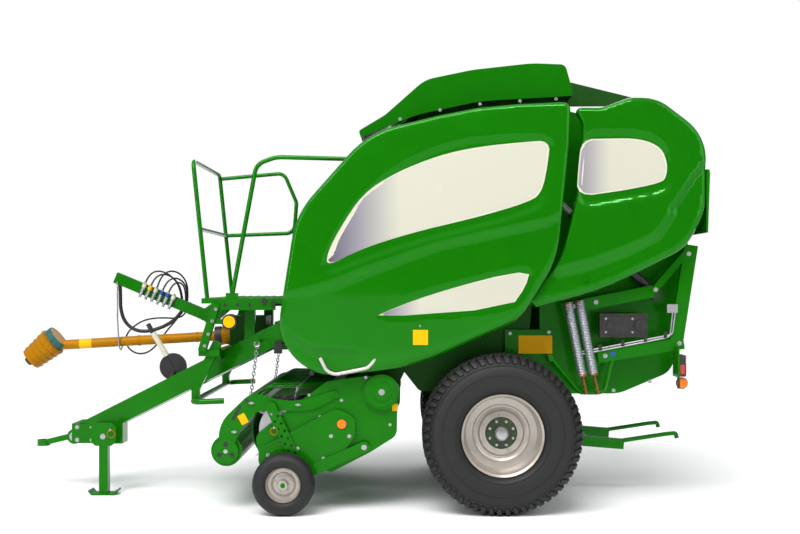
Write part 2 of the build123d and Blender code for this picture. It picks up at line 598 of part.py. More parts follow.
def make_door(side):
    """Outer skin with its hinge arms and handle."""
    y_open = side * (DOOR_OUT - DOOR_DEPTH)
    door = dish(DOOR, DOOR_BEVELS, y_open, side * DOOR_OUT, SKIN_T)
    for x0, x1 in DOOR_ARMS:
        arm = box(x0, x1, side * (DOOR_HINGE_Y - ARM_HALF), side * (DOOR_OUT - 3), DOOR_HINGE_Z - ARM_HALF,
                  DOOR_HINGE_Z + ARM_HALF)
        door = door + arm
        door -= rod((x0 - 5, side * DOOR_HINGE_Y, DOOR_HINGE_Z), (x1 + 5, side * DOOR_HINGE_Y, DOOR_HINGE_Z),
                    HINGE_ROD_R + PIN_GAP)
    handle = bent_rod([(x, side * 1122, z) for x, z in HANDLE], 13, [30, 50, 50])
    return door + handle


for side, word in ((-1, "left"), (1, "right")):
    save(f"door_{word}", make_door(side))

hinges = []
for sign in (-1, 1):
    y = sign * DOOR_HINGE_Y
    pieces = [rod((-200, y, DOOR_HINGE_Z), (350, y, DOOR_HINGE_Z), HINGE_ROD_R)]
    for x in (-200, 100, 330):
        pieces.append(box(x, x + 20, sign * (WALL_IN + WALL_T), y + sign * 16, DOOR_HINGE_Z - 18, DOOR_HINGE_Z + 18))
    hinges.append(fuse_all(pieces))
save("door_hinges", *hinges)

# Tailgate walls and what joins them
GATE = [
    (330, 835, 60), (941, 835, 300), (1330, 1000, 150), (1440, 1250, 300), (1488, 2300, 400), (1488, 2770, 320),
    (1150, 3030, 250), (900, 3030, 150), (740, 2995, 100), (465, 2998, 50), (450, 2500, 200), (330, 1900, 300),
]
GATE_TUBES = ((1455.0, 2500.0), (900.0, 925.0), (1230.0, 2890.0))
GATE_TUBE_R = 25.0
PANEL_STAYS = ((800.0, 2860.0), (1400.0, 2560.0), (620.0, 1720.0))
gate_parts = []
for y in (-GATE_WALL_IN - GATE_WALL_T, GATE_WALL_IN):
    gate_parts.append(slab(outline(GATE), y, y + GATE_WALL_T))
for place in GATE_TUBES:
    gate_parts.append(cross_rod(place, -GATE_WALL_IN - 1, GATE_WALL_IN + 1, GATE_TUBE_R))
for sign in (-1, 1):
    wall_out = sign * (GATE_WALL_IN + GATE_WALL_T - 1)
    for place in PANEL_STAYS:
        gate_parts.append(cross_rod(place, wall_out, sign * (REAR_OUT - SKIN_T), 18))
    gate_parts.append(cross_rod(RAM_GATE_PIN, wall_out, sign * RAM_BOSS_OUT, RAM_EYE_R))
    gate_parts.append(cross_rod(RAM_GATE_PIN, wall_out, sign * (RAM_Y + RAM_EYE_HALF + 10), RAM_PIN_R))
gate = fuse_all(gate_parts)
gate -= cross_rod(GATE_PIVOT, -800, 800, GATE_PIN_R + PIN_GAP)
save("tailgate_walls", gate)

# Rear side panels
REAR = [
    (136, 1477, 12), (770, 1647, 1970), (1362, 1943, 350), (1510, 2210, 380), (1512, 2782, 360), (1150, 3058, 320),
    (960, 3062, 150), (740, 2985, 150), (522, 2985, 40), (600, 2860, 100), (560, 2330, 1500), (440, 1870, 600),
]
REAR_BEVELS = [40, 40, 40, 24, 24, 24, 20, 20, 14, 14, 14, 14]
for side, word in ((-1, "left"), (1, "right")):
    save(f"rear_panel_{word}", dish(REAR, REAR_BEVELS, side * (REAR_OUT - REAR_DEPTH), side * REAR_OUT, SKIN_T))

# Rollers and belts of the tailgate
GATE_LOOP = [(560, 930, 0), (1000, 1080, 0), (1310, 1420, 0), (1375, 2050, 0), (1380, 2600, 0), (1180, 2800, 0),
             (590, 2840, 0)]
GATE_ROLLER_R = 40.0
BELT_T = 6.0
BELT_W = 210.0
BELT_PITCH = 236.0
BELT_COUNT = 5
gate_rollers = []
for x, z, _ in GATE_LOOP:
    roller = cross_rod((x, z), -GATE_WALL_IN + 6, GATE_WALL_IN - 6, GATE_ROLLER_R)
    gate_rollers.append(roller + cross_rod((x, z), -GATE_WALL_IN, GATE_WALL_IN, 18))
save("tailgate_rollers", *gate_rollers)
belt_outer = outline(inset(GATE_LOOP, [-GATE_ROLLER_R - BELT_T] * len(GATE_LOOP)))
belt_inner = outline(inset(GATE_LOOP, [-GATE_ROLLER_R] * len(GATE_LOOP)))
belt_ring = belt_outer - belt_inner
belts = []
for k in range(BELT_COUNT):
    y = (k - (BELT_COUNT - 1) / 2) * BELT_PITCH
    belts.append(slab(belt_ring.faces()[0], y - BELT_W / 2, y + BELT_W / 2))
save("tailgate_belts", *belts)

# Lower side frames of the tailgate
FRAME_IN = 800.0
FRAME_T = 60.0
U_Y = 838.0
frames = []
for sign in (-1, 1):
    y = sign * (FRAME_IN + FRAME_T / 2)
    pieces = [
        beam((745, y, 1130), (1394, y, 1238), FRAME_T, 90),
        beam((480, y, 1493), (1164, y, 1629), FRAME_T, 90),
        beam((1451, y, 1976), (1335, y, 1225), FRAME_T, 100),
        beam((1450, y, 1960), (1160, y, 1625), FRAME_T, 50),
    ]
    for x0, x1, z0, z1 in ((790, 850, 1110, 1160), (1330, 1380, 1205, 1255), (700, 760, 1515, 1560),
                           (1410, 1460, 1880, 1940)):
        pieces.append(box(x0, x1, sign * (GATE_WALL_IN + GATE_WALL_T), y, z0, z1))
    pieces.append(box(1325, 1337, sign * 790, sign * 960, 985, 1210))
    pieces.append(cross_rod((395, 1118), sign * (GATE_WALL_IN + GATE_WALL_T), sign * (U_Y + 18), 21))
    pieces.append(bent_rod([(395, sign * U_Y, 1118), (610, sign * U_Y, 860), (790, sign * U_Y, 860),
                            (871, sign * U_Y, 1170)], 15, [60, 60]))
    for x, z in ((514, 1520), (600, 1535)):
        pieces.append(cross_rod((x, z), y, sign * 925, 14))
    pieces.append(box(900, 960, sign * (GATE_WALL_IN + GATE_WALL_T), sign * 800, 1340, 1400))
    frames.append(fuse_all(pieces))
save("tailgate_frames", *frames)

# Tension springs, each with its pull rod
SPRINGS = ((514.0, 1500.0, 620.0, 1000.0, 650.0, 862.0), (600.0, 1515.0, 705.0, 1010.0, 740.0, 862.0))
SPRING_Y = 900.0
SPRING_R = 36.0
springs = []
for sign in (-1, 1):
    for x0, z0, x1, z1, x2, z2 in SPRINGS:
        y = sign * SPRING_Y
        coil = rod((x0, y, z0 + 45), (x1, y, z1), SPRING_R)
        pull = rod((x1 - 3, y, z1 + 14), (x2, y, z2), 12)
        seat = cross_rod((x2, z2), sign * (U_Y + 15 + PIN_GAP), y, 9)
        springs.append(fuse_all([coil, pull, seat]) - cross_rod((x0, z0 + 20), -1000, 1000, 14.3))
save("tension_springs", *springs)

# Control boxes, lamps and the rear guard
modules = []
lamps = []
for sign in (-1, 1):
    modules.append(box(756, 1114, sign * 800, sign * 880, 1283, 1459))
    lamps.append(box(1337, 1385, sign * 800, sign * 950, 990, 1150))
save("tail_modules", *modules)
save("tail_lamps", *lamps)
rear_guard = slab(outline([(1494, 2062, 5), (1505, 2062, 5), (1545, 2500, 10), (1540, 2530, 10), (1489, 2530, 5)]),
                  -600, 600)
rear_guard = rear_guard + box(1480, 1500, -GATE_WALL_IN, GATE_WALL_IN, 2350, 2450)
save("rear_guard", rear_guard)

# Pick-up frame
PLATE_IN = 1000.0
PLATE_T = 8.0
PICK_PLATE = [
    (-1790, 400, 90), (-1250, 290, 30), (-960, 440, 60), (-770, 560, 80), (-760, 1000, 100), (-1000, 1000, 100),
    (-1290, 960, 100), (-1640, 700, 200), (-1820, 560, 80),
]
BAND_R = 262.0
BAND_T = 4.0
TINE_PITCH = 70.0
TINE_COLUMNS = 27
TINE_TIP_R = 320.0
GAUGE_ARM_IN = 1050.0
GAUGE_ARM_T = 16.0
SHIELD_IN = 1016.0
SHIELD_T = 30.0
low_bar = (-1330.0, -1250.0, 300.0, 380.0)
top_bar = (-1262.0, -1232.0, 845.0, 875.0)
pickup_parts = [cross_rod(PICKUP_PIVOT, -PLATE_IN - 1, PLATE_IN + 1, PICKUP_TUBE_R)]
for sign in (-1, 1):
    ends = sorted((sign * PLATE_IN, sign * (PLATE_IN + PLATE_T)))
    pickup_parts.append(slab(outline(PICK_PLATE), *ends))
    pickup_parts.append(cross_rod(GUARD_PIVOT, sign * PLATE_IN, sign * (PLATE_IN + PLATE_T + 30), 20))
    pickup_parts.append(cross_rod(PICKUP_PIVOT, sign * PLATE_IN, sign * (PLATE_IN + PLATE_T + 40), 129))
    pickup_parts.append(cross_rod(PICKUP_PIVOT, sign * PLATE_IN, sign * (PLATE_IN + PLATE_T + 50), 77))
for bar in (low_bar, top_bar):
    pickup_parts.append(box(bar[0], bar[1], -PLATE_IN - 1, PLATE_IN + 1, bar[2], bar[3]))
pickup_parts.append(slab(outline([(-1290, 372, 0), (-1284, 368, 0), (-950, 690, 0), (-956, 694, 0)]),
                         -PLATE_IN - 1, PLATE_IN + 1))
save("pickup_frame", fuse_all(pickup_parts))

# Outer shields, and the arms that carry the gauge wheels
shields = []
arms = []
for sign in (-1, 1):
    ends = sorted((sign * (PLATE_IN + PLATE_T), sign * (SHIELD_IN + SHIELD_T)))
    shields.append(slab(outline([(-1790, 300, 80), (-1240, 330, 60), (-1080, 560, 90), (-1070, 700, 90),
                                 (-1215, 765, 90), (-1790, 470, 80)]), *ends))
    y0 = sign * GAUGE_ARM_IN
    y1 = sign * (GAUGE_ARM_IN + GAUGE_ARM_T)
    y = (y0 + y1) / 2
    arm = beam((-1010, y, 480), (GAUGE_AXIS[0], y, GAUGE_AXIS[1]), GAUGE_ARM_T, 84)
    arm = arm + beam((-1465, y, 285), (-1697, y, 776), GAUGE_ARM_T, 78)
    arm = arm + cross_rod((-1010, 480), y0, y1, 42) + cross_rod((-1697, 776), y0, y1, 39)
    arm = arm + cross_rod((-1030, 480), sign * (PLATE_IN + PLATE_T), y1, 22)
    arm = arm + cross_rod((-1660, 690), sign * (PLATE_IN + PLATE_T), y1, 14)
    arm = arm + cross_rod(GAUGE_AXIS, y0, sign * 1236, 18)
    for k in range(6):
        for column in (-1, 1):
            t = 0.12 + 0.11 * k + 0.03 * column
            x = -1697 + (-1465 + 1697) * t + column * 17
            z = 776 + (285 - 776) * t + column * 8
            arm -= cross_rod((x, z), sign * 1040, sign * 1080, 10)
    arms.append(arm)
save("pickup_shields", *shields)
save("gauge_arms", *arms)

# Bands between the tines, each a hoop open to the rear
cx, cz = REEL_AXIS


def hoop(radius):
    """Face of a hoop's outer shape, with legs back to the two bars."""
    return outline([(low_bar[0], cz - radius, 0), (low_bar[0], cz + radius, 0),
                    (cx - radius, cz + radius, radius - 0.5), (cx - radius, cz - radius, radius - 0.5)])


band_outer = hoop(BAND_R)
band_inner = hoop(BAND_R - BAND_T).moved(Location((BAND_T * 2, 0, 0)))
band_face = (band_outer - band_inner).faces()[0]
bands = []
for k in range(TINE_COLUMNS + 1):
    y = (k - TINE_COLUMNS / 2) * TINE_PITCH
    bands.append(slab(band_face, y - 26, y + 26))
bands.append(box(low_bar[0] - 26, low_bar[0], -PLATE_IN, PLATE_IN, cz - BAND_R - 8, cz - BAND_R))
bands.append(box(top_bar[0] - 90, top_bar[0], -PLATE_IN, PLATE_IN, cz + BAND_R - 8, cz + BAND_R - 1))
save("stripper_bands", fuse_all(bands))

# Tine reel
TINE_BARS = 5
BAR_CIRCLE_R = 185.0
reel = [cross_rod(REEL_AXIS, -PLATE_IN + 8, PLATE_IN - 8, 45), cross_rod(REEL_AXIS, -PLATE_IN, PLATE_IN, 20)]
for y in (-975, -340, 340, 967):
    reel.append(cross_rod(REEL_AXIS, y, y + 8, 205))
for j in range(TINE_BARS):
    angle = math.radians(77 + 360 * j / TINE_BARS)
    ca, sa = math.cos(angle), math.sin(angle)
    bar_x, bar_z = cx + BAR_CIRCLE_R * ca, cz + BAR_CIRCLE_R * sa
    reel.append(cross_rod((bar_x, bar_z), -975, 975, 16))
    for k in range(TINE_COLUMNS):
        y = (k - (TINE_COLUMNS - 1) / 2) * TINE_PITCH
        reel.append(beam((bar_x, y, bar_z), (cx + TINE_TIP_R * ca, y, cz + TINE_TIP_R * sa), 7, 7))
save("tine_reel", fuse_all(reel))

# Gauge wheels
GAUGE_R = 225.0
GAUGE_IN = 1082.0
GAUGE_W = 165.0
for sign, word in ((-1, "left"), (1, "right")):
    gauge_y = sign * (GAUGE_IN + GAUGE_W / 2)
    half = GAUGE_W / 2
    rows = [(-half + 25, 126), (-half, 150), (-half + 6, 195), (-half + 40, GAUGE_R), (half - 40, GAUGE_R),
            (half - 6, 195), (half, 150), (half - 25, 126)]
    ring = revolve(make_face(Polyline(*[(0, y, r) for y, r in rows], close=True)), Axis.Y, 360)
    save(f"gauge_tyre_{word}", ring.moved(Location((GAUGE_AXIS[0], gauge_y, GAUGE_AXIS[1]))))
    ends = sorted((sign * (GAUGE_IN + 25), sign * (GAUGE_IN + GAUGE_W - 25)))
    rim = cross_rod(GAUGE_AXIS, *ends, 126)
    cut_y0, cut_y1 = sorted((sign * (GAUGE_IN + GAUGE_W / 2 + 15), sign * (GAUGE_IN + GAUGE_W)))
    rim -= cross_rod(GAUGE_AXIS, cut_y0, cut_y1, 112)
    rim = rim + cross_rod(GAUGE_AXIS, sign * (GAUGE_IN + 30), sign * (GAUGE_IN + GAUGE_W - 6), 40)
    rim -= cross_rod(GAUGE_AXIS, sign * GAUGE_IN, sign * (GAUGE_IN + GAUGE_W - 8), 18.3)
    save(f"gauge_rim_{word}", rim)

# Crop guard and its roller
GUARD_IN = 1016.0
GUARD_T = 8.0
GUARD = [
    (-1205, 845, 25), (-1205, 905, 25), (-1560, 795, 500), (-1840, 890, 140), (-2090, 650, 250), (-2084, 394, 48),
    (-1984, 394, 48), (-1950, 580, 300), (-1800, 745, 80), (-1400, 745, 300),
]
guard_parts = []
for sign in (-1, 1):
    ends = sorted((sign * GUARD_IN, sign * (GUARD_IN + GUARD_T)))
    guard_parts.append(slab(outline(list(reversed(GUARD))), *ends))
guard_parts.append(cross_rod((-1885, 815), -GUARD_IN - 1, GUARD_IN + 1, 24))
FINGERS = 14
for k in range(FINGERS):
    y = (k - (FINGERS - 1) / 2) * 2 * TINE_PITCH + TINE_PITCH / 2
    guard_parts.append(bent_rod([(-1885, y, 825), (-1740, y, 905), (-1300, y, 900)], 6, [80]))
crop_guard = fuse_all(guard_parts)
crop_guard -= cross_rod(GUARD_PIVOT, -1100, 1100, 20 + PIN_GAP)
crop_guard -= cross_rod(ROLLER_AXIS, -1100, 1100, 15 + PIN_GAP)
save("crop_guard", crop_guard)
crop_roller = cross_rod(ROLLER_AXIS, -995, 995, 115) + cross_rod(ROLLER_AXIS, -GUARD_IN - GUARD_T - 6,
                                                                 GUARD_IN + GUARD_T + 6, 15)
save("crop_roller", crop_roller)

# Every node is written about the middle of the whole machine's length
boxes = [solid.bounding_box() for solids in nodes.values() for solid in solids]
front_end = min(one.min.X for one in boxes)
rear_end = max(one.max.X for one in boxes)
shift = Location((-(front_end + rear_end) / 2, 0, 0))
PARTS = "parts"
os.makedirs(PARTS, exist_ok=True)
for name, solids in nodes.items():
    moved = [solid.moved(shift) for solid in solids]
    export_step(Compound(children=moved) if len(moved) > 1 else moved[0], f"{PARTS}/{name}.step")
print("shift in X", round(-(front_end + rear_end) / 2, 3), "length", round(rear_end - front_end, 1))
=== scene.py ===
"""Looks of a trailed round baler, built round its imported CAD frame.

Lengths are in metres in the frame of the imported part: X runs to the rear, Y to the
right-hand side, Z up. Places are written from the main axle and moved by AXLE_X.
"""

from __future__ import annotations

import json
import logging
import math
from dataclasses import dataclass
from enum import Enum

import bmesh
import bpy
from mathutils import Matrix, Vector

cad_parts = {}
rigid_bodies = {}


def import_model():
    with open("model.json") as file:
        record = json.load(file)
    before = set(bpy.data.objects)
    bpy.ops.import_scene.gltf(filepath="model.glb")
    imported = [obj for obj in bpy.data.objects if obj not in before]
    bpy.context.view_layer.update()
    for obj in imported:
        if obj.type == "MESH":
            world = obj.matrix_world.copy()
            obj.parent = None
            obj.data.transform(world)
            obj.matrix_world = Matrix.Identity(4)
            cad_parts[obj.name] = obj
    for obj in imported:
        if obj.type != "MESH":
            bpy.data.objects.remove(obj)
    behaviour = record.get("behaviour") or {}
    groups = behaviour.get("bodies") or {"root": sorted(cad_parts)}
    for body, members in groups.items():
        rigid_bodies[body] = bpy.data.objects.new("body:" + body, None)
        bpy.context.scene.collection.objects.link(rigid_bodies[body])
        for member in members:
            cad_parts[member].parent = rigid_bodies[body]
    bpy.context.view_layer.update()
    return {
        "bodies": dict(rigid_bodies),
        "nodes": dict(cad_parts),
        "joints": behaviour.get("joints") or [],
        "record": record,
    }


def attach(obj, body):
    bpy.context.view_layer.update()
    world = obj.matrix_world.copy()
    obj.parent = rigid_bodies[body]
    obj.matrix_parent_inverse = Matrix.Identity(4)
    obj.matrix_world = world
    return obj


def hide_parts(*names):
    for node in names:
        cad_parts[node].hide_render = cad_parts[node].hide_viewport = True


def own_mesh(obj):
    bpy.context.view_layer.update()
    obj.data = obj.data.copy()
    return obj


LOG = logging.getLogger("baler")
AXLE_X = 1.16756
SIDES = ((-1, "left"), (1, "right"))
SIDE_WORDS = dict(SIDES)
VIEW_X = -650.0
VIEW_Y = 9300.0
VIEW_Z = 1690.0
VIEW_SCALE = 1119.0
Pair = tuple[float, float]
Row = tuple[float, float, float]
Colour = tuple[float, float, float, float]
WHEEL_RADIUS = 0.585
TRACK = 2.040


def place(x: float, y: float, z: float) -> Vector:
    """Frame point from millimetres about the main axle."""
    return Vector((x / 1000 + AXLE_X, y / 1000, z / 1000))


# Meshes


def new_object(name: str, mesh: bpy.types.Mesh) -> bpy.types.Object:
    """Link a mesh as a piece at the origin."""
    piece = bpy.data.objects.new(name, mesh)
    bpy.context.scene.collection.objects.link(piece)
    return piece


def mesh_from(name: str, form: bmesh.types.BMesh, smooth: float = 35.0) -> bpy.types.Object:
    """Turn a bmesh into a piece with merged points and outward faces.

    Args:
        name: name of the piece.
        form: bmesh in frame metres, freed here.
        smooth: angle in degrees under which edges are shaded smooth.

    Returns:
        The linked object.
    """
    bmesh.ops.remove_doubles(form, verts=form.verts, dist=1e-5)
    bmesh.ops.recalc_face_normals(form, faces=form.faces)
    mesh = bpy.data.meshes.new(name)
    form.to_mesh(mesh)
    form.free()
    shade(mesh, smooth)
    return new_object(name, mesh)


def shade(mesh: bpy.types.Mesh, smooth: float = 35.0) -> None:
    """Shade a mesh smooth but for edges sharper than an angle in degrees."""
    mesh.shade_smooth()
    mesh.set_sharp_from_angle(angle=math.radians(smooth))


def baked(piece: bpy.types.Object, smooth: float = 35.0) -> bpy.types.Object:
    """Replace a piece by the plain mesh of its evaluated shape.

    Args:
        piece: object with modifiers or curve data.
        smooth: angle in degrees under which edges are shaded smooth.

    Returns:
        The plain mesh object, with the same name and materials.
    """
    name = piece.name
    graph = bpy.context.evaluated_depsgraph_get()
    mesh = bpy.data.meshes.new_from_object(piece.evaluated_get(graph), depsgraph=graph)
    bpy.data.objects.remove(piece)
    mesh.name = name
    shade(mesh, smooth)
    return new_object(name, mesh)


def add_box(form: bmesh.types.BMesh, low: Vector, high: Vector) -> None:
    """Add a box between two corners."""
    size = high - low
    scale = Matrix.Diagonal((abs(size.x), abs(size.y), abs(size.z), 1))
    matrix = Matrix.Translation((low + high) / 2) @ scale
    bmesh.ops.create_cube(form, size=1.0, matrix=matrix)


def frame_along(start: Vector, end: Vector) -> tuple[Vector, Vector, Vector]:
    """Unit vectors along a run, level across it, and square to both.

    Args:
        start: one end in frame metres.
        end: other end.

    Returns:
        The three unit vectors.
    """
    along = (end - start).normalized()
    level = Vector((0, 0, 1)).cross(along)
    level = level.normalized() if level.length > 1e-4 else Vector((0, 1, 0))
    return along, level, along.cross(level).normalized()


def polar(centre: Vector, radius: float, y: float, turn: float) -> Vector:
    """Place on a circle that lies across the machine, off its centre by a distance along Y."""
    return centre + Vector((radius * math.cos(turn), y, radius * math.sin(turn)))


def circle(form: bmesh.types.BMesh, centre: Vector, a: Vector, b: Vector, radius: float,
           sides: int) -> list[bmesh.types.BMVert]:
    """Add a ring of points about a centre, in the plane of two unit vectors."""
    turns = [2 * math.pi * k / sides for k in range(sides)]
    return [form.verts.new(centre + (a * math.cos(turn) + b * math.sin(turn)) * radius) for turn in turns]


def bridge(form: bmesh.types.BMesh, rings: list[list[bmesh.types.BMVert]],
           closed: bool = False) -> list[bmesh.types.BMFace]:
    """Join rings of points with faces, back to the first ring or with a face over each end.

    Args:
        form: bmesh that takes the faces.
        rings: rings with the same number of points.
        closed: join the last ring to the first instead of capping both.

    Returns:
        The two end faces, or none for a closed form.
    """
    for first, second in zip(rings, rings[1:] + rings[:1] if closed else rings[1:]):
        for k, corner in enumerate(first):
            n = (k + 1) % len(first)
            form.faces.new((corner, first[n], second[n], second[k]))
    return [] if closed else [form.faces.new(rings[0]), form.faces.new(rings[-1])]


def add_rod(form: bmesh.types.BMesh, start: Vector, end: Vector, radius: float, sides: int = 24,
            end_radius: float | None = None) -> None:
    """Add a round bar or cone between two points."""
    _, level, upright = frame_along(start, end)
    sizes = (radius, radius if end_radius is None else end_radius)
    spots = zip((start, end), sizes)
    bridge(form, [circle(form, spot, level, upright, size, sides) for spot, size in spots])


def add_ring(form: bmesh.types.BMesh, centre: Vector, profile: list[Pair], sides: int = 64) -> None:
    """Add a closed profile of (y offset, radius) turned about the Y axis through a centre.

    Args:
        form: bmesh that takes the faces.
        centre: centre of the ring in frame metres.
        profile: closed section as rows of (y offset, radius) in metres.
        sides: faces round it.
    """
    rings = []
    for i in range(sides):
        turn = 2 * math.pi * i / sides
        rings.append([form.verts.new(polar(centre, r, y, turn)) for y, r in profile])
    bridge(form, rings, closed=True)


def rounded(corners: list[Row], per_turn: int = 14) -> list[Pair]:
    """Points of a closed outline whose corners are rows of (x, z, radius) in millimetres.

    Args:
        corners: the outline's corners in order.
        per_turn: segments of an arc of a quarter turn.

    Returns:
        The outline's points in millimetres.
    """
    points = []
    count = len(corners)
    for i, (x, z, radius) in enumerate(corners):
        here = Vector((x, z))
        before = Vector(corners[i - 1][:2])
        after = Vector(corners[(i + 1) % count][:2])
        a, b = (before - here).normalized(), (after - here).normalized()
        angle = a.angle(b)
        if radius < 0.5 or angle > math.pi - 0.01:
            points.append((x, z))
            continue
        reach = radius / math.tan(angle / 2)
        centre = here + (a + b).normalized() * (radius / math.sin(angle / 2))
        start, end = here + a * reach - centre, here + b * reach - centre
        turn = math.atan2(start.x * end.y - start.y * end.x, start.dot(end))
        steps = max(2, math.ceil(abs(turn) / (math.pi / 2) * per_turn))
        for k in range(steps + 1):
            t = turn * k / steps
            spoke = Vector((start.x * math.cos(t) - start.y * math.sin(t),
                            start.x * math.sin(t) + start.y * math.cos(t)))
            points.append(tuple(centre + spoke))
    return points


def add_slab(form: bmesh.types.BMesh, points: list[Pair], y_a: float, y_b: float) -> None:
    """Add a plate with an XZ outline in millimetres between two Y values in millimetres."""
    near = [form.verts.new(place(x, y_a, z)) for x, z in points]
    far = [form.verts.new(place(x, y_b, z)) for x, z in points]
    bmesh.ops.triangulate(form, faces=bridge(form, [near, far]))


def add_tube(form: bmesh.types.BMesh, points: list[Vector], radius: float, bend: float,
             sides: int = 14) -> None:
    """Add a bent tube of straight runs and arcs.

    Args:
        form: bmesh that takes the tube.
        points: its corners in frame metres.
        radius: radius of the tube.
        bend: radius of its bends.
        sides: faces round the tube.
    """
    path = [points[0]]
    for before, here, after in zip(points, points[1:], points[2:]):
        a, b = (before - here), (after - here)
        reach = min(bend / max(math.tan(a.angle(b) / 2), 1e-3), a.length * 0.49, b.length * 0.49)
        start, end = here + a.normalized() * reach, here + b.normalized() * reach
        for k in range(9):
            t = k / 8
            path.append(start * (1 - t) ** 2 + here * (2 * t * (1 - t)) + end * t ** 2)
    path.append(points[-1])
    normal = None
    rings = []
    for k, spot in enumerate(path):
        along = (path[min(k + 1, len(path) - 1)] - path[max(k - 1, 0)]).normalized()
        if normal is None:
            normal = along.orthogonal().normalized()
        normal = (normal - along * normal.dot(along)).normalized()
        rings.append(circle(form, spot, normal, along.cross(normal), radius, sides))
    bridge(form, rings)


def inset(corners: list[Row], distances: list[float]) -> list[Row]:
    """Corner rows moved inwards by one distance for each edge that starts at that corner.

    Args:
        corners: rows of (X, Z, corner radius) in millimetres.
        distances: how far each run moves in.

    Returns:
        The moved rows, with radii to suit.
    """
    count = len(corners)
    lines = []
    for i in range(count):
        (x0, z0, _), (x1, z1, _) = corners[i], corners[(i + 1) % count]
        run = math.hypot(x1 - x0, z1 - z0)
        nx, nz = -(z1 - z0) / run, (x1 - x0) / run
        lines.append((x0 + nx * distances[i], z0 + nz * distances[i], (x1 - x0) / run, (z1 - z0) / run))
    result = []
    for i in range(count):
        ax, az, adx, adz = lines[i - 1]
        bx, bz, bdx, bdz = lines[i]
        cross = adx * bdz - adz * bdx
        t = ((bx - ax) * bdz - (bz - az) * bdx) / cross
        mean = (distances[i - 1] + distances[i]) / 2
        radius = corners[i][2] - mean if cross > 0 else corners[i][2] + mean
        result.append((ax + adx * t, az + adz * t, max(radius, 1.0)))
    return result


# Materials


class Tree:
    """Short calls for building a node tree."""

    def __init__(self, tree: bpy.types.NodeTree) -> None:
        """Keep the tree that nodes go into."""
        self.tree = tree

    def node(self, kind: str, values: dict | None = None, links: dict | None = None,
             **options) -> bpy.types.Node:
        """Add a node.

        Args:
            kind: the node's type name.
            values: default values by input name or index.
            links: output sockets by input name or index.
            options: properties of the node itself.

        Returns:
            The new node.
        """
        made = self.tree.nodes.new(kind)
        for key, value in options.items():
            setattr(made, key, value)
        for key, value in (values or {}).items():
            made.inputs[key].default_value = value
        for key, socket in (links or {}).items():
            self.tree.links.new(socket, made.inputs[key])
        return made

    def link(self, source: bpy.types.NodeSocket, target: bpy.types.NodeSocket) -> None:
        """Join two sockets."""
        self.tree.links.new(source, target)

    def maths(self, operation: str, first: bpy.types.NodeSocket, second: bpy.types.NodeSocket | float,
              clamp: bool = False) -> bpy.types.NodeSocket:
        """Result of a sum on a socket with another socket or a number.

        Args:
            operation: the node's operation.
            first: first socket.
            second: second socket, or a number.
            clamp: whether the result stays from 0 to 1.

        Returns:
            The output socket.
        """
        plain = isinstance(second, float)
        made = self.node("ShaderNodeMath", {1: second} if plain else {}, {0: first} if plain else
                         {0: first, 1: second}, operation=operation, use_clamp=clamp)
        return made.outputs[0]

    def span(self, source: bpy.types.NodeSocket, low: float, high: float, to_low: float = 0.0,
             to_high: float = 1.0) -> bpy.types.NodeSocket:
        """A value's range spread over another."""
        sizes = {"From Min": low, "From Max": high, "To Min": to_low, "To Max": to_high}
        return self.node("ShaderNodeMapRange", sizes, {"Value": source}).outputs[0]

    def noise(self, coords: bpy.types.NodeSocket, scale: float, detail: float,
              roughness: float = 0.5) -> bpy.types.NodeSocket:
        """Noise at a place."""
        sizes = {"Scale": scale, "Detail": detail, "Roughness": roughness}
        return self.node("ShaderNodeTexNoise", sizes, {"Vector": coords}).outputs["Fac"]

    def ramp(self, source: bpy.types.NodeSocket, stops: list[tuple[float, Colour]]) -> bpy.types.Node:
        """Add a colour ramp with the stops given.

        Args:
            source: socket that gives the place on the ramp.
            stops: rows of (place, colour).

        Returns:
            The ramp node.
        """
        made = self.node("ShaderNodeValToRGB", links={"Fac": source})
        elements = made.color_ramp.elements
        while len(elements) < len(stops):
            elements.new(0.5)
        for element, (spot, colour) in zip(elements, stops):
            element.position = spot
            element.color = colour
        return made


def group_tree(name: str, inputs: list[tuple[str, str, object]], outputs: list[tuple[str, str]],
               kind: str = "ShaderNodeTree") -> tuple:
    """Start a node group with named sockets.

    Args:
        name: name of the group.
        inputs: rows of (socket name, socket type, default value).
        outputs: rows of (socket name, socket type).
        kind: type of the group.

    Returns:
        The group, its Tree, its input node and its output node.
    """
    group = bpy.data.node_groups.new(name, kind)
    for label, socket_type, value in inputs:
        socket = group.interface.new_socket(label, in_out="INPUT", socket_type=socket_type)
        if value is not None:
            socket.default_value = value
    for label, socket_type in outputs:
        group.interface.new_socket(label, in_out="OUTPUT", socket_type=socket_type)
    tree = Tree(group)
    return group, tree, tree.node("NodeGroupInput"), tree.node("NodeGroupOutput")


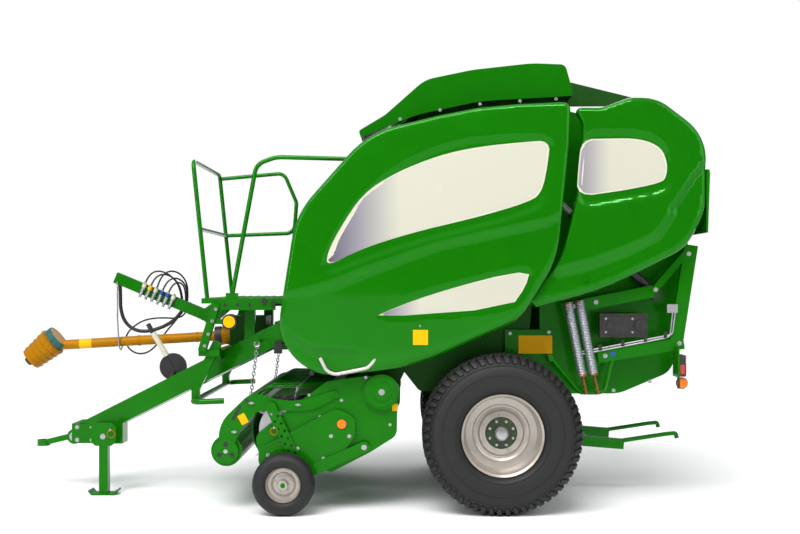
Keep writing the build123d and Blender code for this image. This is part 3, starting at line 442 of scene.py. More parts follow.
class Effects:
    """Shader node groups that several finishes share."""

    FLOAT = "NodeSocketFloat"
    COLOUR = "NodeSocketColor"

    def __init__(self) -> None:
        """Build each group once."""
        self.mottle = self._mottle()
        self.wear = self._wear()
        self.grain = self._grain()

    def _mottle(self) -> bpy.types.NodeTree:
        """Colour that varies softly, with dust that gathers on upward faces.

        Returns:
            The node group.
        """
        group, tree, given, out = group_tree(
            "dust_and_mottle",
            [("Base", self.COLOUR, (1, 1, 1, 1)), ("Dust", self.COLOUR, (0.3, 0.25, 0.18, 1)),
             ("Variation", self.FLOAT, 0.15), ("Dust Amount", self.FLOAT, 0.2), ("Scale", self.FLOAT, 3.0)],
            [("Color", self.COLOUR), ("Mask", self.FLOAT)])
        coords = tree.node("ShaderNodeTexCoord").outputs["Object"]
        scaled = tree.node("ShaderNodeVectorMath", links={0: coords, 3: given.outputs["Scale"]},
                           operation="SCALE").outputs[0]
        shift = tree.span(tree.noise(scaled, 1.0, 5.0, 0.6), 0.3, 0.7, -1.0, 1.0)
        value = tree.maths("ADD", tree.maths("MULTIPLY", shift, given.outputs["Variation"]), 1.0)
        toned = tree.node("ShaderNodeHueSaturation", links={"Value": value, "Color": given.outputs["Base"]})
        geometry = tree.node("ShaderNodeNewGeometry")
        normal = tree.node("ShaderNodeSeparateXYZ", links={0: geometry.outputs["Normal"]})
        upward = tree.span(normal.outputs["Z"], 0.2, 1.0, 0.25, 1.0)
        specks = tree.span(tree.noise(scaled, 9.0, 8.0, 0.7), 0.42, 0.72)
        settled = tree.maths("MULTIPLY", specks, upward)
        mask = tree.maths("MULTIPLY", settled, given.outputs["Dust Amount"], clamp=True)
        mixed = tree.node("ShaderNodeMix", data_type="RGBA",
                          links={0: mask, 6: toned.outputs[0], 7: given.outputs["Dust"]})
        tree.link(mixed.outputs[2], out.inputs["Color"])
        tree.link(mask, out.inputs["Mask"])
        return group

    def _wear(self) -> bpy.types.NodeTree:
        """Mask of worn edges, from how sharply the surface turns.

        Returns:
            The node group.
        """
        group, tree, given, out = group_tree(
            "edge_wear", [("Width", self.FLOAT, 0.004), ("Amount", self.FLOAT, 0.5)], [("Mask", self.FLOAT)])
        bevel = tree.node("ShaderNodeBevel", links={"Radius": given.outputs["Width"]}, samples=4)
        geometry = tree.node("ShaderNodeNewGeometry")
        turned = tree.node("ShaderNodeVectorMath", links={0: bevel.outputs[0], 1: geometry.outputs["Normal"]},
                           operation="DOT_PRODUCT")
        edge = tree.span(turned.outputs["Value"], 0.995, 0.86)
        coords = tree.node("ShaderNodeTexCoord").outputs["Object"]
        broken = tree.span(tree.noise(coords, 38.0, 6.0), 0.48, 0.6)
        chipped = tree.maths("MULTIPLY", edge, broken)
        mask = tree.maths("MULTIPLY", chipped, given.outputs["Amount"], clamp=True)
        tree.link(mask, out.inputs["Mask"])
        return group

    def _grain(self) -> bpy.types.NodeTree:
        """Height and roughness of a fine cast, moulded or sprayed grain.

        Returns:
            The node group.
        """
        group, tree, given, out = group_tree(
            "fine_grain", [("Scale", self.FLOAT, 300.0), ("Low", self.FLOAT, 0.3), ("High", self.FLOAT, 0.5)],
            [("Height", self.FLOAT), ("Roughness", self.FLOAT)])
        coords = tree.node("ShaderNodeTexCoord").outputs["Object"]
        grain = tree.node("ShaderNodeTexNoise", {"Detail": 4.0},
                          {"Vector": coords, "Scale": given.outputs["Scale"]})
        smear = tree.noise(coords, 6.0, 6.0)
        rough = tree.node("ShaderNodeMapRange", links={
            "Value": smear, "To Min": given.outputs["Low"], "To Max": given.outputs["High"]})
        tree.link(grain.outputs["Fac"], out.inputs["Height"])
        tree.link(rough.outputs[0], out.inputs["Roughness"])
        return group


def linear(red: int, green: int, blue: int) -> Colour:
    """Linear colour from 0 to 255 screen values.

    Args:
        red: red from 0 to 255.
        green: green from 0 to 255.
        blue: blue from 0 to 255.

    Returns:
        The colour that a shader takes.
    """
    def one(value: int) -> float:
        """One channel."""
        share = value / 255
        return share / 12.92 if share <= 0.04045 else ((share + 0.055) / 1.055) ** 2.4
    return (one(red), one(green), one(blue), 1.0)


@dataclass(frozen=True)
class Finish:
    """One surface finish: its colour, gloss, dust, wear, grain and any painted glow."""

    name: str
    base: Colour
    low_rough: float = 0.3
    high_rough: float = 0.5
    metallic: float = 0.0
    variation: float = 0.12
    dust: float = 0.15
    dust_colour: Colour = linear(150, 132, 100)
    worn: float = 0.0
    worn_colour: Colour = linear(120, 118, 112)
    wear_width: float = 0.003
    coat: float = 0.0
    grain_scale: float = 240.0
    grain_depth: float = 0.0004
    painted_glow: float = 0.0
    tint: float = 0.0

    def build(self, effects: Effects) -> bpy.types.Material:
        """Make the Blender material.

        Args:
            effects: the shared node groups.

        Returns:
            The new material.
        """
        material = bpy.data.materials.new(self.name)
        material.use_nodes = True
        material.node_tree.nodes.clear()
        tree = Tree(material.node_tree)
        out = tree.node("ShaderNodeOutputMaterial")
        shader = tree.node("ShaderNodeBsdfPrincipled", {"Coat Weight": self.coat, "Coat Roughness": 0.03,
                                                        "Metallic": self.metallic})
        peak = max(self.base[:3])
        shader.inputs["Specular Tint"].default_value = (
            *(1.0 + (value / peak - 1.0) * self.tint for value in self.base[:3]), 1.0)
        mottle = tree.node("ShaderNodeGroup", node_tree=effects.mottle)
        for label, value in (("Base", self.base), ("Dust", self.dust_colour), ("Variation", self.variation),
                             ("Dust Amount", self.dust)):
            mottle.inputs[label].default_value = value
        colour = mottle.outputs["Color"]
        if self.worn > 0:
            wear = tree.node("ShaderNodeGroup", node_tree=effects.wear)
            wear.inputs["Width"].default_value = self.wear_width
            wear.inputs["Amount"].default_value = self.worn
            mixed = tree.node("ShaderNodeMix", {7: self.worn_colour}, {0: wear.outputs[0], 6: colour},
                              data_type="RGBA")
            colour = mixed.outputs[2]
        grain = tree.node("ShaderNodeGroup", node_tree=effects.grain)
        for label, value in (("Scale", self.grain_scale), ("Low", self.low_rough), ("High", self.high_rough)):
            grain.inputs[label].default_value = value
        rough = tree.maths("ADD", grain.outputs["Roughness"], mottle.outputs["Mask"], clamp=True)
        bump = tree.node("ShaderNodeBump", {"Strength": 0.35, "Distance": self.grain_depth},
                         {"Height": grain.outputs["Height"]})
        tree.link(colour, shader.inputs["Base Color"])
        tree.link(rough, shader.inputs["Roughness"])
        tree.link(bump.outputs[0], shader.inputs["Normal"])
        # Painted glow: the surface shines in its own colour though it is no lamp.
        if self.painted_glow > 0:
            tree.link(colour, shader.inputs["Emission Color"])
            shader.inputs["Emission Strength"].default_value = self.painted_glow
        tree.link(shader.outputs[0], out.inputs["Surface"])
        return material


class Look(Enum):
    """The machine's finishes by name."""

    GREEN = Finish("green_gloss_paint", linear(12, 99, 0), 0.08, 0.16, variation=0.05, dust=0.03, worn=0.15,
                   worn_colour=linear(18, 84, 6), coat=0.35, grain_depth=0.00008, tint=1.0)
    FRAME_GREEN = Finish("green_frame_paint", linear(12, 97, 0), 0.16, 0.30, variation=0.08, dust=0.06,
                         worn=0.35, worn_colour=linear(52, 84, 40), coat=0.15, tint=0.9)
    DARK_GREEN = Finish("dark_green_paint", linear(10, 58, 2), 0.25, 0.45, variation=0.12, dust=0.12,
                        worn=0.3, worn_colour=linear(50, 66, 44), tint=0.7)
    BLACK = Finish("black_satin_paint", linear(20, 21, 22), 0.3, 0.5, dust=0.15, worn=0.4,
                   worn_colour=linear(80, 80, 80))
    SILVER = Finish("silver_wheel_paint", linear(178, 170, 162), 0.22, 0.38, metallic=0.55, dust=0.2,
                    worn=0.3, worn_colour=linear(100, 88, 78))
    RUBBER = Finish("tyre_rubber", linear(10, 10, 11), 0.5, 0.7, dust=0.12, grain_scale=120.0,
                    grain_depth=0.0012, dust_colour=linear(74, 68, 60))
    STEEL = Finish("bare_steel", linear(176, 176, 178), 0.2, 0.36, metallic=0.9, dust=0.15,
                   dust_colour=linear(110, 84, 60))
    SPRING = Finish("zinc_spring", linear(172, 176, 182), 0.2, 0.35, metallic=0.8, dust=0.1)
    COPPER = Finish("rusty_rod", linear(140, 84, 52), 0.4, 0.6, metallic=0.6, dust=0.3)
    BELT = Finish("belt_rubber", linear(30, 29, 29), 0.5, 0.7, dust=0.35, grain_scale=90.0, grain_depth=0.002)
    OCHRE = Finish("ochre_plastic", linear(160, 106, 2), 0.3, 0.45, dust=0.15, variation=0.1, tint=0.9)
    TEAL = Finish("teal_collar", linear(36, 88, 84), 0.4, 0.6, dust=0.2, tint=0.5)
    PLASTIC = Finish("black_plastic", linear(24, 24, 26), 0.35, 0.55, dust=0.3)
    HOSE = Finish("hose_rubber", linear(18, 18, 20), 0.35, 0.5, dust=0.15, grain_scale=160.0)
    CREAM = Finish("cream_lever", linear(198, 194, 176), 0.3, 0.45, dust=0.12)
    YELLOW = Finish("blank_yellow_sticker", linear(238, 174, 2), 0.3, 0.4, dust=0.08, variation=0.05,
                    tint=0.8)
    BLUE = Finish("blank_blue_sticker", linear(24, 62, 150), 0.3, 0.4, dust=0.2, variation=0.05)
    # The amber lenses carry a painted glow that stands in for their bright reflection; they are no lamps.
    AMBER = Finish("amber_lens", linear(240, 112, 2), 0.08, 0.16, dust=0.05, coat=0.5, painted_glow=0.1, tint=0.9)
    RED = Finish("red_lens", linear(170, 16, 12), 0.08, 0.16, dust=0.1, coat=0.8)
    HANDLE = Finish("pale_handle", linear(198, 190, 188), 0.3, 0.45, metallic=0.4, dust=0.2)
    HUB = Finish("hub_dark_green", linear(30, 56, 26), 0.35, 0.5, dust=0.5, worn=0.4)


class Paints:
    """Builds each finish once and dresses pieces with it."""

    def __init__(self) -> None:
        """Start with the shared groups and no materials."""
        self.effects = Effects()
        self.made: dict[str, bpy.types.Material] = {}

    def get(self, look: Look) -> bpy.types.Material:
        """The material of a finish."""
        if look.name not in self.made:
            self.made[look.name] = look.value.build(self.effects)
        return self.made[look.name]

    def dress(self, piece: bpy.types.Object, look: Look) -> bpy.types.Object:
        """Give a piece one finish all over."""
        piece.data.materials.clear()
        piece.data.materials.append(self.get(look))
        return piece


# Stage, light and camera


class Studio:
    """Pale floor, soft light and the camera at the photograph's place."""

    CAMERA = Vector((VIEW_X / 1000 + AXLE_X, -VIEW_Y / 1000, VIEW_Z / 1000))
    WIDTH_PX = 800
    HALF_HEIGHT_PX = 267.0
    SENSOR = 36.0
    CENTRE = (413.0, 283.0)
    AIM = Vector((0.6, 0, 1.5))

    def build(self) -> None:
        """Make the floor, the lamps, the world and the camera."""
        self._floor()
        self._lamps()
        self._world()
        data = bpy.data.cameras.new("photo_camera")
        data.sensor_width = self.SENSOR
        data.lens = VIEW_SCALE * self.SENSOR / self.WIDTH_PX
        data.shift_x = -(self.CENTRE[0] - self.WIDTH_PX / 2) / self.WIDTH_PX
        data.shift_y = (self.CENTRE[1] - self.HALF_HEIGHT_PX) / self.WIDTH_PX
        data.clip_end = 200
        camera = bpy.data.objects.new("photo_camera", data)
        camera.location = self.CAMERA
        camera.rotation_euler = (math.radians(90), 0, 0)
        bpy.context.scene.collection.objects.link(camera)
        bpy.context.scene.camera = camera

    def _floor(self) -> None:
        """Pale floor that shows the part's shadow."""
        form = bmesh.new()
        bmesh.ops.create_grid(form, x_segments=1, y_segments=1, size=150.0)
        floor = mesh_from("floor", form)
        material = bpy.data.materials.new("pale_floor")
        material.use_nodes = True
        shader = material.node_tree.nodes["Principled BSDF"]
        shader.inputs["Base Color"].default_value = (0.97, 0.97, 0.97, 1.0)
        shader.inputs["Roughness"].default_value = 1.0
        shader.inputs["Specular IOR Level"].default_value = 0.0
        floor.data.materials.append(material)

    def _lamps(self) -> None:
        """One wide sun for the even floor and soft lamps that draw the panels' highlights."""
        self._lamp("sun", "SUN", Vector(), Vector((0.25, 0.62, -1.0)), energy=1.75, angle=math.radians(35))
        rows = (
            ("strip_high", (-0.6, -4.6, 5.2), 7.0, 0.35, 150.0),
            ("strip_mid", (-4.2, -5.4, 3.4), 0.4, 2.6, 70.0),
            ("fill", (6.0, -6.0, 4.0), 4.0, 4.0, 90.0),
            ("back", (2.0, 8.0, 6.0), 6.0, 3.0, 160.0),
        )
        for name, spot, wide, high, power in rows:
            self._lamp(name, "AREA", Vector(spot), self.AIM - Vector(spot), shape="RECTANGLE", size=wide,
                       size_y=high, energy=power)

    def _lamp(self, name: str, kind: str, spot: Vector, aim: Vector, **options) -> None:
        """Hang one lamp that shines along a direction.

        Args:
            name: name of the lamp.
            kind: its type.
            spot: where it hangs, in frame metres.
            aim: direction that it shines in.
            options: properties of the lamp.
        """
        data = bpy.data.lights.new(name, kind)
        for key, value in options.items():
            setattr(data, key, value)
        lamp = bpy.data.objects.new(name, data)
        lamp.location = spot
        lamp.rotation_euler = aim.to_track_quat("-Z", "Y").to_euler()
        bpy.context.scene.collection.objects.link(lamp)

    def _world(self) -> None:
        """Even pale world: a sky that darkens towards the ground for the light, seen white by the camera."""
        world = bpy.data.worlds.new("studio")
        bpy.context.scene.world = world
        world.use_nodes = True
        world.node_tree.nodes.clear()
        tree = Tree(world.node_tree)
        path = tree.node("ShaderNodeLightPath")
        coords = tree.node("ShaderNodeTexCoord")
        parts = tree.node("ShaderNodeSeparateXYZ", links={0: coords.outputs["Generated"]})
        sky = tree.ramp(parts.outputs["Z"], [(0.0, linear(140, 146, 140)), (0.18, linear(150, 158, 160)),
                                             (0.42, linear(232, 236, 240)), (1.0, linear(255, 255, 255))])
        soft = tree.node("ShaderNodeBackground", {"Strength": 0.72}, {"Color": sky.outputs[0]})
        seen = tree.node("ShaderNodeBackground", {"Color": (1.0, 1.0, 1.0, 1.0), "Strength": 1.0})
        mixed = tree.node("ShaderNodeMixShader", links={0: path.outputs["Is Camera Ray"], 1: soft.outputs[0],
                                                        2: seen.outputs[0]})
        out = tree.node("ShaderNodeOutputWorld")
        tree.link(mixed.outputs[0], out.inputs["Surface"])
        bpy.context.scene.view_settings.view_transform = "Standard"


# Geometry node trees


class NodeMaker:
    """Builds the geometry node trees for what repeats."""

    def __init__(self) -> None:
        """Build each tree once."""
        self.fasteners = self._fasteners()
        self.coil = self._coil()
        self.links = self._links()

    def _start(self, name: str, inputs: list[tuple[str, str, object]]) -> tuple:
        """Start a tree with a geometry input and output and named inputs for its sizes."""
        geometry = ("Geometry", "NodeSocketGeometry")
        return group_tree(name, [(*geometry, None), *inputs], [geometry], "GeometryNodeTree")

    def _end(self, tree: Tree, shape: bpy.types.NodeSocket, given: bpy.types.Node,
             out: bpy.types.Node) -> None:
        """Realize the instances and set the material.

        Args:
            tree: the tree.
            shape: socket of its shape.
            given: its input node.
            out: its output node.
        """
        real = tree.node("GeometryNodeRealizeInstances", links={0: shape})
        dressed = tree.node("GeometryNodeSetMaterial", links={"Geometry": real.outputs[0],
                                                              "Material": given.outputs["Material"]})
        tree.link(dressed.outputs[0], out.inputs[0])

    def _fasteners(self) -> bpy.types.NodeTree:
        """Hexagon heads with washers on the points of a mesh, facing along Y.

        Returns:
            The node group.
        """
        group, tree, given, out = self._start("fasteners_on_points", [
            ("Head Radius", "NodeSocketFloat", 0.010), ("Head Height", "NodeSocketFloat", 0.007),
            ("Material", "NodeSocketMaterial", None)])
        head = tree.node("GeometryNodeMeshCylinder", {"Vertices": 6}, {"Radius": given.outputs["Head Radius"],
                                                                       "Depth": given.outputs["Head Height"]})
        wide = tree.maths("MULTIPLY", given.outputs["Head Radius"], 1.45)
        thin = tree.maths("MULTIPLY", given.outputs["Head Height"], 0.35)
        washer = tree.node("GeometryNodeMeshCylinder", {"Vertices": 16}, {"Radius": wide, "Depth": thin})
        both = tree.node("GeometryNodeJoinGeometry")
        tree.link(head.outputs["Mesh"], both.inputs[0])
        tree.link(washer.outputs["Mesh"], both.inputs[0])
        spread = tree.node("GeometryNodeInstanceOnPoints", {"Rotation": (math.radians(90), 0, 0)},
                           {"Points": given.outputs["Geometry"], "Instance": both.outputs[0]})
        self._end(tree, spread.outputs[0], given, out)
        return group

    def _coil(self) -> bpy.types.NodeTree:
        """Coiled wire that stands on the origin along Z.

        Returns:
            The node group.
        """
        group, tree, given, out = self._start("coil_spring", [
            ("Turns", "NodeSocketFloat", 45.0), ("Coil Radius", "NodeSocketFloat", 0.031),
            ("Length", "NodeSocketFloat", 0.5), ("Wire Radius", "NodeSocketFloat", 0.005),
            ("Material", "NodeSocketMaterial", None)])
        spiral = tree.node("GeometryNodeCurveSpiral", {"Resolution": 14}, {
            "Rotations": given.outputs["Turns"], "Start Radius": given.outputs["Coil Radius"],
            "End Radius": given.outputs["Coil Radius"], "Height": given.outputs["Length"]})
        ring = tree.node("GeometryNodeCurvePrimitiveCircle", {"Resolution": 7},
                         {"Radius": given.outputs["Wire Radius"]})
        wire = tree.node("GeometryNodeCurveToMesh", {"Fill Caps": True},
                         {"Curve": spiral.outputs[0], "Profile Curve": ring.outputs[0]})
        self._end(tree, wire.outputs[0], given, out)
        return group

    def _links(self) -> bpy.types.NodeTree:
        """Oval chain links on the points of a mesh, each turned a quarter from the last.

        Returns:
            The node group.
        """
        group, tree, given, out = self._start("chain_links", [
            ("Link Length", "NodeSocketFloat", 0.030), ("Wire Radius", "NodeSocketFloat", 0.0035),
            ("Material", "NodeSocketMaterial", None)])
        oval = tree.node("GeometryNodeCurvePrimitiveCircle", {"Resolution": 14},
                         {"Radius": given.outputs["Link Length"]})
        slim = tree.node("GeometryNodeTransform", {"Scale": (0.40, 0.66, 1.0),
                                                   "Rotation": (math.radians(90), 0, 0)},
                         {"Geometry": oval.outputs[0]})
        ring = tree.node("GeometryNodeCurvePrimitiveCircle", {"Resolution": 6},
                         {"Radius": given.outputs["Wire Radius"]})
        link = tree.node("GeometryNodeCurveToMesh", {"Fill Caps": True},
                         {"Curve": slim.outputs[0], "Profile Curve": ring.outputs[0]})
        index = tree.node("GeometryNodeInputIndex")
        quarter = tree.maths("MULTIPLY", tree.maths("MODULO", index.outputs[0], 2.0), math.radians(90))
        turn = tree.node("ShaderNodeCombineXYZ", links={"Z": quarter})
        spread = tree.node("GeometryNodeInstanceOnPoints", links={
            "Points": given.outputs["Geometry"], "Instance": link.outputs[0], "Rotation": turn.outputs[0]})
        self._end(tree, spread.outputs[0], given, out)
        return group

    def make(self, name: str, tree: bpy.types.NodeTree, points: list[Vector], values: dict[str, object],
             material: bpy.types.Material) -> bpy.types.Object:
        """Run a tree on points and keep the plain mesh.

        Args:
            name: name of the piece.
            tree: the geometry node tree.
            points: places that it works on.
            values: sizes by input name.
            material: material of the result.

        Returns:
            The piece as a plain mesh.
        """
        mesh = bpy.data.meshes.new(name)
        mesh.from_pydata([tuple(point) for point in points], [], [])
        piece = new_object(name, mesh)
        modifier = piece.modifiers.new("nodes", "NODES")
        modifier.node_group = tree
        for item in tree.interface.items_tree:
            if item.in_out == "INPUT" and item.name in values:
                modifier[item.identifier] = values[item.name]
            if item.in_out == "INPUT" and item.name == "Material":
                modifier[item.identifier] = material
        return baked(piece, 40)


# Wheels


@dataclass
class MainTyre:
    """Wide tyre with shoulder blocks and ribs, in place of its plain ring."""

    SUNK = 0.006
    side: int
    width: float = 0.500
    blocks: int = 58

    def profile(self) -> list[Pair]:
        """Closed section as rows of (y offset, radius), inside first.

        Returns:
            Rows in metres, about the wheel's middle.
        """
        half = self.width / 2
        rows = [(-half + 0.062, 0.287), (-half + 0.058, 0.302), (-half + 0.036, 0.312),
                (-half + 0.018, 0.328), (-half + 0.006, 0.352), (-half, 0.392), (-half + 0.002, 0.430),
                (-half + 0.008, 0.470), (-half + 0.018, 0.502), (-half + 0.030, 0.524),
                (-half + 0.040, 0.530)]
        tread = [(-half + 0.062, 0.556), (-half + 0.090, 0.566), (-half + 0.150, 0.572), (0.0, 0.575)]
        left = rows + tread
        return left + [(-y, r) for y, r in reversed(left[:-1])]

    def build(self, paints: Paints) -> bpy.types.Object:
        """Make the carcass, its sidewall ribs and its tread blocks.

        Args:
            paints: finishes of the machine.

        Returns:
            The tyre as one mesh.
        """
        centre = Vector((AXLE_X, self.side * TRACK / 2, WHEEL_RADIUS))
        form = bmesh.new()
        add_ring(form, centre, self.profile(), sides=96)
        for radius, reach in ((0.345, 0.004), (0.440, 0.003), (0.508, 0.004)):
            for sign in (-1, 1):
                self._sidewall_rib(form, centre, radius, sign, reach)
        for k in range(self.blocks):
            for sign in (-1, 1):
                self._shoulder_block(form, centre, k + (0.5 if sign > 0 else 0.0), sign)
            for lane in range(3):
                self._centre_block(form, centre, k + 0.33 * lane, lane)
        word = SIDE_WORDS[self.side]
        tyre = mesh_from(f"tyre_tread_{word}", form, 40)
        paints.dress(tyre, Look.RUBBER)
        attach(tyre, f"wheel_{word}")
        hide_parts(f"tyre_{word}")
        return tyre

    def _sidewall_y(self, radius: float) -> float:
        """Half width of the carcass at a radius.

        Args:
            radius: radius in metres.

        Returns:
            The half width in metres.
        """
        rows = [(r, -y) for y, r in self.profile()[:12]]
        for (r0, y0), (r1, y1) in zip(rows, rows[1:]):
            if r0 <= radius <= r1:
                return y0 + (y1 - y0) * (radius - r0) / (r1 - r0)
        return rows[-1][1]

    def _sidewall_rib(self, form: bmesh.types.BMesh, centre: Vector, radius: float, sign: int,
                      reach: float) -> None:
        """Raised line round one sidewall.

        Args:
            form: bmesh that takes the faces.
            centre: centre of the wheel.
            radius: where the line runs, in metres.
            sign: which sidewall.
            reach: how far it stands out, in metres.
        """
        y = self._sidewall_y(radius)
        rows = [(sign * (y - 0.006), radius - 0.007), (sign * (y + reach), radius - 0.003),
                (sign * (y + reach), radius + 0.003), (sign * (y - 0.006), radius + 0.007)]
        add_ring(form, centre, [(max(-0.25, min(0.25, a)), b) for a, b in rows], sides=96)

    def _shoulder_block(self, form: bmesh.types.BMesh, centre: Vector, index: float, sign: int) -> None:
        """One block that wraps over a shoulder.

        Args:
            form: bmesh that takes the faces.
            centre: centre of the wheel.
            index: place in the row of blocks.
            sign: which shoulder.
        """
        pitch = 2 * math.pi / self.blocks
        turn = index * pitch
        half = pitch * 0.33
        slant = pitch * 0.35
        stations = ((0.216, 0.526, 0.225, 0.532), (0.196, 0.553, 0.205, 0.564), (0.162, 0.571, 0.165, 0.5845),
                    (0.118, 0.5745, 0.120, 0.5848))
        rings = []
        for k, (y, foot, top_y, top) in enumerate(stations):
            lean = turn + slant * k / 3
            wide = half * (0.8 if k == 0 else 1.0)
            spots = [polar(centre, foot - self.SUNK, sign * y, lean + a * wide) for a in (-1, 1)]
            spots += [polar(centre, top, sign * top_y, lean + a * wide * 0.82) for a in (1, -1)]
            rings.append([form.verts.new(spot) for spot in spots])
        bridge(form, rings)

    def _centre_block(self, form: bmesh.types.BMesh, centre: Vector, index: float, lane: int) -> None:
        """One slanted block of the middle tread, narrower at its top.

        Args:
            form: bmesh that takes the faces.
            centre: centre of the wheel.
            index: place in the row of blocks.
            lane: row across the tread, from 0 to 2.
        """
        pitch = 2 * math.pi / self.blocks
        half = pitch * 0.36
        slant = pitch * (0.3 if lane % 2 else -0.3)
        middle, middle_y = index * pitch + slant / 2, 0.075 * (lane - 1)
        offsets = ((-half - slant / 2, -0.030), (half - slant / 2, -0.030), (half + slant / 2, 0.030),
                   (slant / 2 - half, 0.030))
        rings = []
        for radius, share in ((0.570, 1.0), (0.5845, 0.9)):
            rings.append([form.verts.new(polar(centre, radius, middle_y + y * share, middle + turn * share))
                          for turn, y in offsets])
        bridge(form, rings)


@dataclass
class MainRim:
    """Dished steel wheel with raised rings at eight hole places, a dark hub and its cap, in place of the
    plain rim.
    """

    side: int
    holes: int = 8
    hole_circle: float = 0.141

    def build(self, paints: Paints) -> None:
        """Make the disc wheel, the hub, the nuts and the cap.

        Args:
            paints: finishes of the machine.
        """
        word = SIDE_WORDS[self.side]
        centre = Vector((AXLE_X, self.side * TRACK / 2, WHEEL_RADIUS))
        s = self.side
        form = bmesh.new()
        rows = [(0.190, 0.284), (0.203, 0.300), (0.197, 0.301), (0.186, 0.289), (0.160, 0.278),
                (0.120, 0.272), (0.060, 0.262), (0.050, 0.232), (0.046, 0.215), (0.030, 0.206),
                (0.022, 0.190), (0.024, 0.172), (0.034, 0.160), (0.036, 0.118), (0.028, 0.118),
                (0.024, 0.160), (0.014, 0.176), (0.012, 0.192), (0.020, 0.212), (0.038, 0.224),
                (0.040, 0.250), (-0.050, 0.256), (-0.160, 0.272), (-0.186, 0.282), (-0.197, 0.301),
                (-0.203, 0.300), (-0.190, 0.284), (-0.150, 0.2845), (0.0, 0.2845), (0.150, 0.2845)]
        add_ring(form, centre, [(s * y, r) for y, r in rows], sides=96)
        wheel = mesh_from(f"disc_wheel_{word}", form, 30)
        for k in range(self.holes):
            self._ring(wheel, centre, k)
        paints.dress(wheel, Look.SILVER)
        hub_form = bmesh.new()
        hub_rows = [(-0.100, 0.041), (-0.100, 0.118), (0.030, 0.118), (0.040, 0.112), (0.048, 0.092),
                    (0.052, 0.062), (0.076, 0.058), (0.076, 0.0405)]
        add_ring(hub_form, centre, [(s * y, r) for y, r in hub_rows], sides=64)
        hub = mesh_from(f"hub_{word}", hub_form, 30)
        paints.dress(hub, Look.HUB)
        cap_form = bmesh.new()
        cap_rows = [(0.070, 0.052), (0.082, 0.052), (0.086, 0.048), (0.098, 0.046), (0.1035, 0.040),
                    (0.106, 0.020), (0.1065, 0.001), (0.070, 0.001)]
        add_ring(cap_form, centre, [(s * y, r) for y, r in cap_rows], sides=48)
        for k in range(self.holes):
            turn = 2 * math.pi * (k + 0.5) / self.holes
            spot = polar(centre, 0.092, s * 0.044, turn)
            add_rod(cap_form, spot, spot + Vector((0, s * 0.016, 0)), 0.011, 6)
            add_rod(cap_form, spot, spot + Vector((0, s * 0.024, 0)), 0.006, 12)
        cap = mesh_from(f"hub_cap_{word}", cap_form, 30)
        paints.dress(cap, Look.STEEL)
        for piece, name in ((wheel, "silver_paint"), (hub, "dark_green_paint"), (cap, "bare_steel")):
            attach(piece, f"wheel_{word}")
        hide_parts(f"rim_{word}")

    def _ring(self, wheel: bpy.types.Object, centre: Vector, k: int) -> None:
        """Add the rolled edge of one hole's place to the disc, as a raised ring.

        Args:
            wheel: the disc wheel, changed here.
            centre: centre of the wheel.
            k: number of the hole.
        """
        turn = 2 * math.pi * (k + 0.5) / self.holes
        spot = polar(centre, self.hole_circle, 0, turn)
        form = bmesh.new()
        form.from_mesh(wheel.data)
        s = self.side
        rows = [(s * 0.0345, 0.0125), (s * 0.0405, 0.0125), (s * 0.0405, 0.0165), (s * 0.0345, 0.0175)]
        add_ring(form, spot, rows, sides=20)
        form.to_mesh(wheel.data)
        form.free()
        shade(wheel.data, 30)


@dataclass
class GaugeWheel:
    """Small pick-up wheel: ribbed tyre and dished rim in place of the plain rings."""

    side: int
    axis: Pair = (-1590.0, 228.0)
    y_in: float = 1082.0
    width: float = 165.0

    def build(self, paints: Paints) -> None:
        """Make the tyre and the rim.

        Args:
            paints: finishes of the machine.
        """
        word = SIDE_WORDS[self.side]
        s = self.side
        centre = place(self.axis[0], s * (self.y_in + self.width / 2), self.axis[1])
        half = self.width / 2000
        left = [(-half + 0.025, 0.127), (-half + 0.012, 0.134), (-half + 0.002, 0.150),
                (-half + 0.001, 0.172), (-half + 0.008, 0.196), (-half + 0.024, 0.213),
                (-half + 0.036, 0.220)]
        ribs = []
        for k in range(4):
            y = -0.040 + 0.0215 * k
            ribs += [(y, 0.2245), (y + 0.0125, 0.225), (y + 0.014, 0.218), (y + 0.0195, 0.218)]
        right = [(-y, r) for y, r in reversed(left)]
        form = bmesh.new()
        add_ring(form, centre, left + ribs[:-1] + right, sides=72)
        tyre = mesh_from(f"gauge_tread_{word}", form, 40)
        paints.dress(tyre, Look.RUBBER)
        rim_form = bmesh.new()
        rows = [(0.050, 0.1255), (0.058, 0.130), (0.054, 0.131), (0.046, 0.1265), (0.030, 0.118),
                (0.012, 0.112), (0.010, 0.090), (0.020, 0.078), (0.024, 0.060), (0.022, 0.036),
                (0.068, 0.034), (0.070, 0.030), (0.070, 0.0185), (-0.050, 0.0185), (-0.050, 0.036),
                (0.010, 0.036), (0.012, 0.060), (0.008, 0.078), (0.000, 0.092), (-0.004, 0.110),
                (-0.050, 0.118), (-0.054, 0.131), (-0.058, 0.130), (-0.050, 0.1255)]
        add_ring(rim_form, centre, [(s * y, r) for y, r in rows], sides=64)
        for k in range(5):
            turn = 2 * math.pi * (k + 0.3) / 5
            spot = polar(centre, 0.052, s * 0.018, turn)
            add_rod(rim_form, spot, spot + Vector((0, s * 0.016, 0)), 0.010, 6)
        rim = mesh_from(f"gauge_disc_{word}", rim_form, 30)
        paints.dress(rim, Look.SILVER)
        for piece, name in ((tyre, "tyre_rubber"), (rim, "silver_paint")):
            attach(piece, f"gauge_wheel_{word}")
        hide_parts(f"gauge_tyre_{word}")
        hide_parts(f"gauge_rim_{word}")


# Body panels


